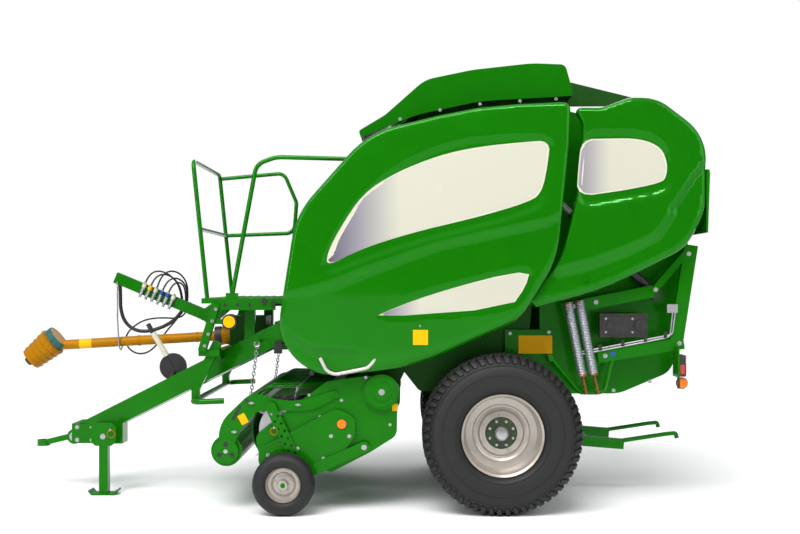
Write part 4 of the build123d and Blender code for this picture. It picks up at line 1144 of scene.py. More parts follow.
DOOR = [
    (505, 3018, 60), (-181, 2986, 3000), (-981, 2790, 680), (-1509, 2194, 640), (-1703, 963, 400),
    (-640, 1072, 1650), (138, 1423, 360), (408, 1860, 700), (493, 2700, 1500),
]
DOOR_BEVELS = [24, 28, 30, 30, 150, 70, 40, 20, 16]
REAR = [(136, 1477, 12), (770, 1647, 1970), (1362, 1943, 350), (1510, 2210, 380), (1512, 2782, 360),
        (1150, 3058, 320), (960, 3062, 150), (740, 2985, 150), (522, 2985, 40), (600, 2860, 100),
        (560, 2330, 1500), (440, 1870, 600)]
REAR_BEVELS = [40, 40, 40, 24, 24, 24, 20, 20, 14, 14, 14, 14]


def on_plane(px: float, py: float, y: float) -> Pair:
    """Place (X, Z) in millimetres about the axle of a spot in the view, on a plane of constant Y."""
    reach = (VIEW_Y + y) / VIEW_SCALE
    return VIEW_X + (px - Studio.CENTRE[0]) * reach, VIEW_Z - (py - Studio.CENTRE[1]) * reach


def smooth_outline(points: list[Pair], rounds: int = 2) -> list[Pair]:
    """Closed outline with its corners cut back a number of times.

    Args:
        points: closed outline.
        rounds: how often its corners are cut.

    Returns:
        The smoother outline.
    """
    for _ in range(rounds):
        cut = []
        for i, (x, z) in enumerate(points):
            nx, nz = points[(i + 1) % len(points)]
            cut += [(x * 0.75 + nx * 0.25, z * 0.75 + nz * 0.25),
                    (x * 0.25 + nx * 0.75, z * 0.25 + nz * 0.75)]
        points = cut
    return points


def inside(spot: Pair, points: list[Pair]) -> bool:
    """Whether a spot lies in a closed outline.

    Args:
        spot: place (X, Z) in millimetres about the axle.
        points: closed outline.

    Returns:
        True if the spot is inside.
    """
    x, z = spot
    found = False
    for (x0, z0), (x1, z1) in zip(points, points[1:] + points[:1]):
        if (z0 > z) != (z1 > z) and x < (x1 - x0) * (z - z0) / (z1 - z0) + x0:
            found = not found
    return found


def nearest(spot: Pair, points: list[Pair], closed: bool = True) -> tuple[float, Pair]:
    """Least distance from a spot to an outline, and the place there.

    Args:
        spot: place (X, Z) in millimetres about the axle.
        points: outline of places in millimetres about the axle.
        closed: whether the last point joins the first.

    Returns:
        The distance and the nearest place.
    """
    x, z = spot
    best, found = math.inf, spot
    for (x0, z0), (x1, z1) in zip(points, points[1:] + (points[:1] if closed else [])):
        dx, dz = x1 - x0, z1 - z0
        share = max(0.0, min(1.0, ((x - x0) * dx + (z - z0) * dz) / max(dx * dx + dz * dz, 1e-9)))
        away = math.hypot(x - x0 - dx * share, z - z0 - dz * share)
        if away < best:
            best, found = away, (x0 + dx * share, z0 + dz * share)
    return best, found


@dataclass(frozen=True)
class Recess:
    """Shallow pocket in a panel, from an outline in the view."""

    corners: tuple[Pair, ...]
    depth: float
    slope: float
    rounds: int = 3


@dataclass
class SidePanel:
    """Pressed side panel with a rolled edge, crease lines and recesses for its blank plates."""

    TURN_STEPS = 16
    ROLL = ((0.30, 0.05), (0.58, 0.17), (0.82, 0.38), (0.96, 0.66), (1.0, 1.0))
    name: str
    node: str
    body: str
    side: int
    corners: list[Row]
    bevels: list[float]
    face_y: float
    depth: float
    creases: tuple[tuple[tuple[Pair, ...], float, float], ...] = ()
    recesses: tuple[Recess, ...] = ()
    step: float = 22.0
    skin: float = 6.0

    def __post_init__(self) -> None:
        """Work out the creases and the recesses on the face's plane."""
        self.lines = [(self.on_face(line), below, reach) for line, below, reach in self.creases]
        self.pockets = [(recess, smooth_outline(self.on_face(recess.corners), recess.rounds))
                        for recess in self.recesses]

    def on_face(self, spots: tuple[Pair, ...]) -> list[Pair]:
        """Places on the face's plane of spots in the view."""
        return [on_plane(px, py, -self.face_y) for px, py in spots]

    def relief(self, x: float, z: float) -> float:
        """How far the face lies inside its outer plane at a place, in millimetres.

        Args:
            x: X in millimetres about the axle.
            z: Z in millimetres about the axle.

        Returns:
            The depth, from 0 outwards in.
        """
        drop = 0.0
        for line, below, reach in self.lines:
            away, _ = nearest((x, z), line, closed=False)
            under = self._under((x, z), line)
            if under and away < reach:
                drop += below * (1 - math.cos(math.pi * min(1.0, away / reach))) / 2
            elif under:
                drop += below
        for recess, points in self.pockets:
            away, _ = nearest((x, z), points)
            signed = away if inside((x, z), points) else -away
            share = max(0.0, min(1.0, signed / recess.slope))
            drop += recess.depth * share * share * (3 - 2 * share)
        return drop

    def _under(self, spot: Pair, line: list[Pair]) -> bool:
        """Whether a spot lies below an open line, by the run nearest in X.

        Args:
            spot: place (X, Z) in millimetres about the axle.
            line: open line of places.

        Returns:
            True if the spot lies below.
        """
        x, z = spot
        for (x0, z0), (x1, z1) in zip(line, line[1:]):
            if x0 <= x <= x1:
                return z < z0 + (z1 - z0) * (x - x0) / (x1 - x0)
        first, last = line[0], line[-1]
        if x < first[0]:
            return z < first[1] + (first[1] - line[1][1]) / (first[0] - line[1][0]) * (x - first[0])
        return z < last[1] + (last[1] - line[-2][1]) / (last[0] - line[-2][0]) * (x - last[0])

    def build(self, paints: Paints) -> bpy.types.Object:
        """Make the panel.

        Args:
            paints: finishes of the machine.

        Returns:
            The panel as one closed mesh.
        """
        form = bmesh.new()
        self._sheet(form, rounded(inset(self.corners, self.bevels), self.TURN_STEPS))
        panel = mesh_from(self.name, form, 38)
        solid = panel.modifiers.new("wall", "SOLIDIFY")
        solid.thickness = self.skin / 1000
        solid.offset = -1.0
        panel = baked(panel, 38)
        paints.dress(panel, Look.GREEN)
        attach(panel, self.body)
        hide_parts(self.node)
        return panel

    def _sheet(self, form: bmesh.types.BMesh, face: list[Pair]) -> None:
        """Fill the face with a grid that follows the relief, and roll its edge back.

        Args:
            form: bmesh that takes the faces.
            face: outline of the face.
        """
        s = self.side
        xs = [x for x, _ in face]
        zs = [z for _, z in face]
        columns = math.ceil((max(xs) - min(xs)) / self.step) + 1
        rows = math.ceil((max(zs) - min(zs)) / self.step) + 1
        grid = {}
        for i in range(columns):
            for j in range(rows):
                spot = (min(xs) + i * self.step, min(zs) + j * self.step)
                if inside(spot, face) and nearest(spot, face)[0] > self.step * 0.45:
                    grid[i, j] = form.verts.new(place(spot[0], s * self.face_y, spot[1]))
        for i, j in grid:
            around = [grid.get(key) for key in ((i, j), (i + 1, j), (i + 1, j + 1), (i, j + 1))]
            if all(around):
                form.faces.new(around)
        border = [edge for edge in form.edges if edge.is_boundary]
        loose = [vert for vert in form.verts if not vert.link_faces]
        bmesh.ops.delete(form, geom=loose, context="VERTS")
        rim = self.densify(face)
        ring = [form.verts.new(place(x, s * self.face_y, z)) for x, z in rim]
        edges = [form.edges.new((ring[k], ring[(k + 1) % len(ring)])) for k in range(len(ring))]
        bmesh.ops.triangle_fill(form, use_beauty=True, use_dissolve=False, edges=edges + border)
        for vert in form.verts:
            x, z = (vert.co.x - AXLE_X) * 1000, vert.co.z * 1000
            vert.co.y = s * (self.face_y - self.relief(x, z)) / 1000
        self._roll(form, ring, rim)

    def densify(self, points: list[Pair]) -> list[Pair]:
        """The outline with long runs divided.

        Args:
            points: closed outline.

        Returns:
            The outline with no run longer than about one step.
        """
        result = []
        for i, (x, z) in enumerate(points):
            nx, nz = points[(i + 1) % len(points)]
            run = math.hypot(nx - x, nz - z)
            count = max(1, round(run / self.step))
            if run < 0.5:
                continue
            result += [(x + (nx - x) * k / count, z + (nz - z) * k / count) for k in range(count)]
        return result

    def _roll(self, form: bmesh.types.BMesh, ring: list[bmesh.types.BMVert], rim: list[Pair]) -> None:
        """Roll the edge of the face back to the panel's full outline.

        Args:
            form: bmesh that takes the faces.
            ring: points on the rim of the face.
            rim: their places.
        """
        full = rounded(self.corners, self.TURN_STEPS)
        full = [full[i] for i in range(len(full))
                if math.hypot(full[i][0] - full[i - 1][0], full[i][1] - full[i - 1][1]) > 0.5]
        s = self.side
        last = ring
        targets = [nearest(point, full)[1] for point in rim]
        for share, back in self.ROLL:
            now = []
            for vert, (x, z), (tx, tz) in zip(ring, rim, targets):
                y = abs(vert.co.y) * 1000
                end = self.face_y - self.depth
                now.append(form.verts.new(place(x + (tx - x) * share, s * (y + (end - y) * back),
                                                z + (tz - z) * share)))
            for k in range(len(ring)):
                n = (k + 1) % len(ring)
                form.faces.new((last[k], last[n], now[n], now[k]))
            last = now

# Panels in place


def front_door(side: int) -> SidePanel:
    """Front side door with its character line, recess and undercut.

    Args:
        side: -1 for the left and 1 for the right.

    Returns:
        The panel, not built yet.
    """
    word = SIDE_WORDS[side]
    upper = Recess(((557, 134), (500, 136), (459, 140), (418, 154), (377, 179), (341, 221), (314, 281),
                    (362, 262), (412, 245), (466, 231), (524, 216), (547, 204), (553, 170)), 11.0, 26.0)
    lower = Recess(((364, 321), (399, 302), (437, 289), (483, 277), (534, 266), (528, 290), (512, 311)),
                   5.0, 14.0)
    lines = ((((300, 292), (330, 283), (362, 270), (436, 243), (510, 227), (548, 219)), 15.0, 46.0),
             (((290, 330), (312, 346), (357, 348), (388, 357), (430, 352), (480, 338)), 34.0, 60.0))
    return SidePanel(f"door_panel_{word}", f"door_{word}", f"door_{word}", side, DOOR, DOOR_BEVELS, 1150.0,
                     58.0, lines, (upper, lower))


def rear_panel(side: int) -> SidePanel:
    """Rear side panel with its recess and lower crease.

    Args:
        side: -1 for the left and 1 for the right.

    Returns:
        The panel, not built yet.
    """
    word = SIDE_WORDS[side]
    recess = Recess(((581, 131), (610, 131), (640, 131), (660, 138), (671, 154), (673, 175), (670, 193),
                     (620, 202), (575, 210), (580, 170)), 12.0, 24.0)
    lines = ((((560, 268), (591, 260), (629, 246), (655, 233), (669, 213)), 20.0, 55.0),)
    return SidePanel(f"rear_side_{word}", f"rear_panel_{word}", "tailgate", side, REAR, REAR_BEVELS, 1080.0,
                     60.0, lines, (recess,))


@dataclass
class BlankPlate:
    """Blank plate in a recess, pale at the rear and fading to violet grey at the front."""

    RINGS = 14
    THICK = 3.0
    BORDER = 13
    name: str
    panel: SidePanel
    corners: tuple[Pair, ...]
    fade_px: Pair
    middle_px: Pair
    rounds: int = 2
    lift: float = 2.0

    def build(self, paints: Paints) -> None:
        """Make the plate and its pale border.

        Args:
            paints: finishes of the machine.
        """
        points = smooth_outline(self.panel.on_face(self.corners), self.rounds)
        self._piece(self.name, points, self.lift + 1.2, self._fading())
        middle = on_plane(*self.middle_px, -self.panel.face_y)
        wide = []
        for x, z in points:
            away = math.hypot(x - middle[0], z - middle[1])
            wide.append((x + (x - middle[0]) / away * self.BORDER, z + (z - middle[1]) / away * self.BORDER))
        self._piece(f"{self.name}_border", wide, self.lift, paints.get(Look.CREAM))

    def _piece(self, name: str, points: list[Pair], lift: float, material: bpy.types.Material) -> None:
        """Thin sheet that follows the panel's face, in rings about its middle.

        Args:
            name: name of the piece.
            points: outline of places in millimetres about the axle.
            lift: height over the face in millimetres.
            material: its finish.
        """
        s = self.panel.side
        mx, mz = on_plane(*self.middle_px, -self.panel.face_y)
        rim = self.panel.densify(points)
        form = bmesh.new()
        rings = []
        steps = [k / self.RINGS for k in range(1, self.RINGS + 1)]
        for back, shares in ((0.0, steps), (self.THICK, reversed(steps))):
            for share in shares:
                ring = []
                for x, z in rim:
                    at_x, at_z = mx + (x - mx) * share, mz + (z - mz) * share
                    y = self.panel.face_y - self.panel.relief(at_x, at_z) + lift - back
                    ring.append(form.verts.new(place(at_x, s * y, at_z)))
                rings.append(ring)
        bridge(form, rings)
        piece = mesh_from(name, form, 40)
        piece.data.materials.append(material)
        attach(piece, self.panel.body)

    def _fading(self) -> bpy.types.Material:
        """Cream finish that darkens to violet grey towards the front.

        Returns:
            The material.
        """
        name = f"blank_plate_fading_{self.fade_px[0]:.0f}"
        found = bpy.data.materials.get(name)
        if found:
            return found
        material = bpy.data.materials.new(name)
        material.use_nodes = True
        tree = Tree(material.node_tree)
        shader = material.node_tree.nodes["Principled BSDF"]
        x0, _ = on_plane(self.fade_px[0], 283, -self.panel.face_y)
        x1, _ = on_plane(self.fade_px[1], 283, -self.panel.face_y)
        coords = tree.node("ShaderNodeTexCoord")
        parts = tree.node("ShaderNodeSeparateXYZ", links={0: coords.outputs["Object"]})
        share = tree.span(parts.outputs["X"], x0 / 1000 + AXLE_X, x1 / 1000 + AXLE_X)
        ramp = tree.ramp(share, [(0.0, linear(78, 72, 94)), (0.45, linear(136, 131, 140)),
                                 (1.0, linear(188, 186, 170))])
        rough = tree.span(tree.noise(coords.outputs["Object"], 5.0, 5.0), 0.0, 1.0, 0.16, 0.32)
        tree.link(ramp.outputs[0], shader.inputs["Base Color"])
        tree.link(rough, shader.inputs["Roughness"])
        shader.inputs["Coat Weight"].default_value = 0.4
        return material


def blank_plates(door: SidePanel, rear: SidePanel) -> list[BlankPlate]:
    """The three blank plates of one side.

    Args:
        door: panel of the front door.
        rear: rear side panel.

    Returns:
        The plates, not built yet.
    """
    word = SIDE_WORDS[door.side]
    upper = ((549, 141), (522, 143), (480, 148), (438, 157), (397, 173), (365, 193), (342, 227), (329, 252),
             (328, 266), (362, 248), (412, 232), (466, 218), (530, 201), (541, 190), (546, 165))
    lower = ((373, 318), (400, 306), (437, 293), (483, 281), (529, 271), (524, 287), (510, 306))
    rear_points = ((583, 140), (610, 140), (641, 140), (660, 148), (666, 163), (665, 176), (660, 182),
                   (620, 189), (578, 196), (580, 168))
    return [BlankPlate(f"plate_upper_{word}", door, upper, (326.0, 400.0), (470.0, 186.0)),
            BlankPlate(f"plate_lower_{word}", door, lower, (372.0, 420.0), (490.0, 291.0), 1),
            BlankPlate(f"plate_rear_{word}", rear, rear_points, (560.0, 610.0), (622.0, 166.0))]


@dataclass
class DoorFittings:
    """Hinge arms and the pale handle bar of one door."""

    side: int

    def build(self, paints: Paints) -> None:
        """Make the arms and the handle.

        Args:
            paints: finishes of the machine.
        """
        word = SIDE_WORDS[self.side]
        s = self.side
        form = bmesh.new()
        for x0, x1 in ((-150, -120), (290, 320)):
            for y0, y1 in ((1014, 1140), (976, 986)):
                low, high = sorted((s * y0, s * y1))
                add_box(form, place(x0, low, 2925), place(x1, high, 2975))
            low, high = sorted((s * 986, s * 1014))
            add_box(form, place(x0, low, 2963), place(x1, high, 2975))
            add_box(form, place(x0, low, 2925), place(x1, high, 2937))
        arms = mesh_from(f"door_arms_{word}", form)
        bar = bmesh.new()
        route = [(-1330, 1112, 1142), (-1282, 1122, 1046), (-1219, 1126, 1021), (-974, 1126, 1070),
                 (-922, 1118, 1142)]
        add_tube(bar, [place(x, s * y, z) for x, y, z in route], 0.013, 0.085, 20)
        handle = mesh_from(f"door_handle_{word}", bar, 50)
        knob = bmesh.new()
        x, z = on_plane(312, 373, -1080)
        spot = place(x, s * 1086, z)
        add_rod(knob, spot - Vector((0, s * 0.03, 0)), spot + Vector((0, s * 0.018, 0)), 0.019, 24)
        add_rod(knob, spot + Vector((0, s * 0.016, 0)), spot + Vector((0, s * 0.028, 0)), 0.019, 24, 0.012)
        latch = mesh_from(f"door_latch_{word}", knob, 30)
        for piece, look in ((arms, Look.DARK_GREEN), (handle, Look.HANDLE), (latch, Look.PLASTIC)):
            paints.dress(piece, look)
            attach(piece, f"door_{word}")


@dataclass
class Springs:
    """Coiled tension springs with their end hooks and rods, in place of the plain cylinders."""

    rows: tuple = ((514.0, 1500.0, 620.0, 1000.0, 650.0, 862.0), (600.0, 1515.0, 705.0, 1010.0, 740.0, 862.0))
    y: float = 900.0

    def build(self, paints: Paints, maker: NodeMaker) -> None:
        """Make the coils and the rods.

        Args:
            paints: finishes of the machine.
            maker: the geometry node trees.
        """
        joined = bmesh.new()
        rods = bmesh.new()
        for s, _ in SIDES:
            for x0, z0, x1, z1, x2, z2 in self.rows:
                top, low = place(x0, s * self.y, z0 + 40), place(x1, s * self.y, z1)
                run = (top - low).length
                along = (top - low).normalized()
                sizes = {"Turns": 46.0, "Coil Radius": 0.0305, "Length": run, "Wire Radius": 0.0052}
                coil = maker.make("coil", maker.coil, [], sizes, paints.get(Look.SPRING))
                turn = (top - low).to_track_quat("Z", "Y").to_matrix().to_4x4()
                coil.data.transform(Matrix.Translation(low) @ turn)
                joined.from_mesh(coil.data)
                bpy.data.objects.remove(coil)
                end = place(x2, s * self.y, z2)
                add_rod(rods, low + along * 0.03, end, 0.011, 16)
                add_rod(rods, end - Vector((0, s * 0.045, 0)), end + Vector((0, s * 0.012, 0)), 0.009, 12)
                add_rod(rods, low - along * 0.012, low + along * 0.02, 0.033, 28)
                add_rod(rods, top - along * 0.03, top + along * 0.004, 0.033, 28)
        springs = mesh_from("spring_coils", joined, 60)
        springs.data.materials.append(paints.get(Look.SPRING))
        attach(springs, "tailgate")
        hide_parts("tension_springs")
        pulls = mesh_from("spring_rods", rods, 40)
        paints.dress(pulls, Look.COPPER)
        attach(pulls, "tailgate")


class Cords:
    """Hoses and the cable bundle at the front, on the routes that the part's source has."""

    RADIUS = 0.007
    BUNDLE_RADIUS = 0.015
    ROUTES = {
        "hose_loop_1": (0.515, [(-2861, -45, 1695), (-2830, -44, 1769), (-2748, -15, 1797), (-2650, 30, 1742),
                                (-2597, 75, 1640), (-2590, 95, 1530)]),
        "hose_loop_2": (0.477, [(-2813, -45, 1675), (-2785, -40, 1741), (-2715, 20, 1770), (-2640, 80, 1722),
                                (-2600, 130, 1630), (-2592, 145, 1530)]),
        "hose_loop_3": (0.538, [(-2765, -45, 1655), (-2740, -45, 1733), (-2680, -25, 1793), (-2600, 25, 1780),
                                (-2550, 80, 1705), (-2541, 112, 1615), (-2549, 120, 1530)]),
        "hose_loop_4": (0.406, [(-2717, -45, 1635), (-2688, -42, 1703), (-2622, -12, 1738), (-2560, 30, 1700),
                                (-2536, 62, 1620), (-2545, 70, 1530)]),
        "hose_loop_5": (0.321, [(-2669, -45, 1615), (-2640, -40, 1682), (-2577, -10, 1700), (-2545, 38, 1632),
                                (-2549, 45, 1530)]),
        "hose_loop_6": (1.370, [(-2540, 75, 1480), (-2562, 76, 1420), (-2635, 80, 1392), (-2760, 90, 1400),
                                (-2900, 95, 1385), (-3010, 95, 1318), (-3068, 92, 1235), (-3045, 90, 1145),
                                (-2965, 90, 1092), (-2870, 98, 1105), (-2790, 108, 1185), (-2730, 120, 1280),
                                (-2660, 130, 1360), (-2612, 138, 1425), (-2598, 140, 1480)]),
        "cable_bundle": (0.909, [(-3085, 0, 1690), (-3082, 5, 1590), (-3085, 15, 1480), (-3060, 30, 1375),
                                 (-2985, 35, 1300), (-2880, 38, 1283), (-2770, 36, 1310), (-2680, 30, 1352),
                                 (-2610, 24, 1405), (-2562, 20, 1475)]),
    }

    def build(self, paints: Paints) -> None:
        """Make each cord as a smooth curve.

        Args:
            paints: finishes of the machine.
        """
        for name, (length, points) in self.ROUTES.items():
            radius = self.BUNDLE_RADIUS if name == "cable_bundle" else self.RADIUS
            curve = bpy.data.curves.new(f"{name}_line", "CURVE")
            curve.dimensions = "3D"
            curve.bevel_depth = radius
            curve.bevel_resolution = 4
            curve.use_fill_caps = True
            spline = curve.splines.new("NURBS")
            spline.points.add(len(points) - 1)
            for point, spot in zip(spline.points, points):
                point.co = (*place(*spot), 1.0)
            spline.order_u = 3
            spline.use_endpoint_u = True
            spline.resolution_u = 10
            cord = bpy.data.objects.new(f"{name}_line", curve)
            bpy.context.scene.collection.objects.link(cord)
            curve.materials.append(paints.get(Look.HOSE))
            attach(cord, "chassis")
            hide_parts(name)
            place(*points[0])


# Fittings


def disc(form: bmesh.types.BMesh, x: float, z: float, y_a: float, y_b: float, radius: float,
         sides: int = 28) -> None:
    """Add a round boss across the machine, in millimetres about the axle."""
    add_rod(form, place(x, y_a, z), place(x, y_b, z), radius / 1000, sides)


def block(form: bmesh.types.BMesh, x: Pair, y: Pair, z: Pair) -> None:
    """Add a box from its ranges in millimetres about the axle."""
    y_low, y_high = sorted(y)
    add_box(form, place(x[0], y_low, z[0]), place(x[1], y_high, z[1]))


def loop(form: bmesh.types.BMesh, x: float, z: float, y: float, radius: float, wire: float) -> None:
    """Add a round wire ring that lies across the machine, in millimetres about the axle."""
    rows = [(wire / 1000 * math.sin(math.pi * k / 4), (radius + wire * math.cos(math.pi * k / 4)) / 1000)
            for k in range(8)]
    add_ring(form, place(x, y, z), rows, 28)


def sleeve(form: bmesh.types.BMesh, origin: Vector, along: Vector, reach: Pair, radius: float, wall: float,
           sides: int = 40) -> None:
    """Add an open sleeve between two reaches along a line.

    Args:
        form: bmesh that takes the sleeve.
        origin: where the line starts, in millimetres about the axle.
        along: direction of the line.
        reach: where the sleeve starts and ends on the line, in millimetres.
        radius: outer radius in metres.
        wall: thickness of the wall in metres.
        sides: faces round it.
    """
    start, end = (place(*(origin + along * far)) for far in reach)
    _, side, up = frame_along(start, end)
    spots = ((start, radius - wall), (start, radius), (end, radius), (end, radius - wall))
    bridge(form, [circle(form, spot, side, up, size, sides) for spot, size in spots], closed=True)


class Kit:
    """Gathers small fittings by body and finish, and makes one piece of each pair."""

    def __init__(self) -> None:
        """Start with nothing gathered."""
        self.forms: dict[tuple[str, Look], bmesh.types.BMesh] = {}
        self.bolts: dict[tuple[str, float], list[Vector]] = {}

    def form(self, body: str, look: Look) -> bmesh.types.BMesh:
        """The form that gathers one finish on one body."""
        if (body, look) not in self.forms:
            self.forms[body, look] = bmesh.new()
        return self.forms[body, look]

    def bolt(self, body: str, x: float, y: float, z: float, radius: float = 0.010) -> None:
        """Gather one bolt head that faces across the machine."""
        self.bolts.setdefault((body, radius), []).append(place(x, y, z))

    def build(self, paints: Paints, maker: NodeMaker) -> None:
        """Make the pieces.

        Args:
            paints: finishes of the machine.
            maker: the geometry node trees.
        """
        for (body, look), form in self.forms.items():
            piece = mesh_from(f"{body}_{look.name.lower()}_fittings", form, 40)
            paints.dress(piece, look)
            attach(piece, body)
        for (body, radius), points in self.bolts.items():
            values = {"Head Radius": radius, "Head Height": radius * 0.75}
            piece = maker.make(f"{body}_bolts_{radius * 1000:.0f}", maker.fasteners, points, values,
                               paints.get(Look.STEEL))
            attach(piece, body)


@dataclass
class PickupTrim:
    """Reflectors, bolts, rings and stickers on the pick-up and its crop guard."""

    side: int

    def gather(self, kit: Kit) -> None:
        """Add this side's fittings.

        Args:
            kit: gathers them.
        """
        s = self.side
        amber, black = kit.form("pickup", Look.AMBER), kit.form("pickup", Look.PLASTIC)
        green, steel = kit.form("pickup", Look.FRAME_GREEN), kit.form("pickup", Look.STEEL)
        disc(black, -1176, 650, s * 1045, s * 1050, 39)
        disc(amber, -1176, 650, s * 1050, s * 1055, 34)
        disc(green, -881, 886, s * 1047, s * 1054, 112, 48)
        disc(green, -881, 886, s * 1056, s * 1064, 66, 40)
        kit.bolt("pickup", -881, s * 1066, 886, 0.016)
        for x, z in ((-1255, 561), (-1720, 420), (-1500, 470), (-1310, 395), (-1120, 560)):
            kit.bolt("pickup", x, s * 1048, z)
        for x, z in ((-1340, 700), (-1180, 820), (-820, 640), (-1000, 990), (-810, 960), (-1420, 860)):
            kit.bolt("pickup", x, s * 1010, z, 0.008)
        for x, z in ((-1010, 480), (-1590, 228)):
            kit.bolt("pickup", x, s * 1068, z, 0.014)
        block(kit.form("pickup", Look.YELLOW), (-805, -761), (s * 1007, s * 1009.5), (742, 794))
        disc(steel, -1673, 626, s * 1060, s * 1078, 8, 14)
        loop(kit.form("pickup", Look.OCHRE), -1673, 600, s * 1074, 26, 3)
        guard_dark, guard_steel = kit.form("crop_guard", Look.PLASTIC), kit.form("crop_guard", Look.STEEL)
        disc(guard_dark, -1880, 819, s * 1020, s * 1024.6, 15)
        for k in range(10):
            share = k / 9
            disc(guard_dark, -1929 - 52 * share, 773 - 89 * share, s * 1020, s * (1024.4 + 0.02 * k), 12)
        for x, z in ((-1844, 803), (-1971, 590), (-1500, 790)):
            disc(guard_steel, x, z, s * 1023, s * 1036, 11, 20)
            block(guard_steel, (x - 20, x + 20), (s * 1034, s * 1039), (z - 4, z + 4))
        form = kit.form("crop_guard", Look.YELLOW)
        turn = math.radians(28)
        corners = [(-1907 + a * math.cos(turn) - b * math.sin(turn),
                    684 + a * math.sin(turn) + b * math.cos(turn))
                   for a, b in ((-28, -38), (28, -38), (28, 38), (-28, 38))]
        add_slab(form, corners, s * 1023, s * 1026)
        roller, holes = kit.form("crop_roller", Look.FRAME_GREEN), kit.form("crop_roller", Look.PLASTIC)
        disc(roller, -2034, 446, s * 1026, s * 1032, 92, 48)
        disc(kit.form("crop_roller", Look.STEEL), -2034, 446, s * 1030, s * 1042, 17, 6)
        # Three dark discs stand for the roller's holes: painted shade where the openings are.
        for k in range(3):
            angle = math.radians(90 + 120 * k)
            disc(holes, -2034 + 54 * math.cos(angle), 446 + 54 * math.sin(angle), s * 1030, s * 1032.8, 20)


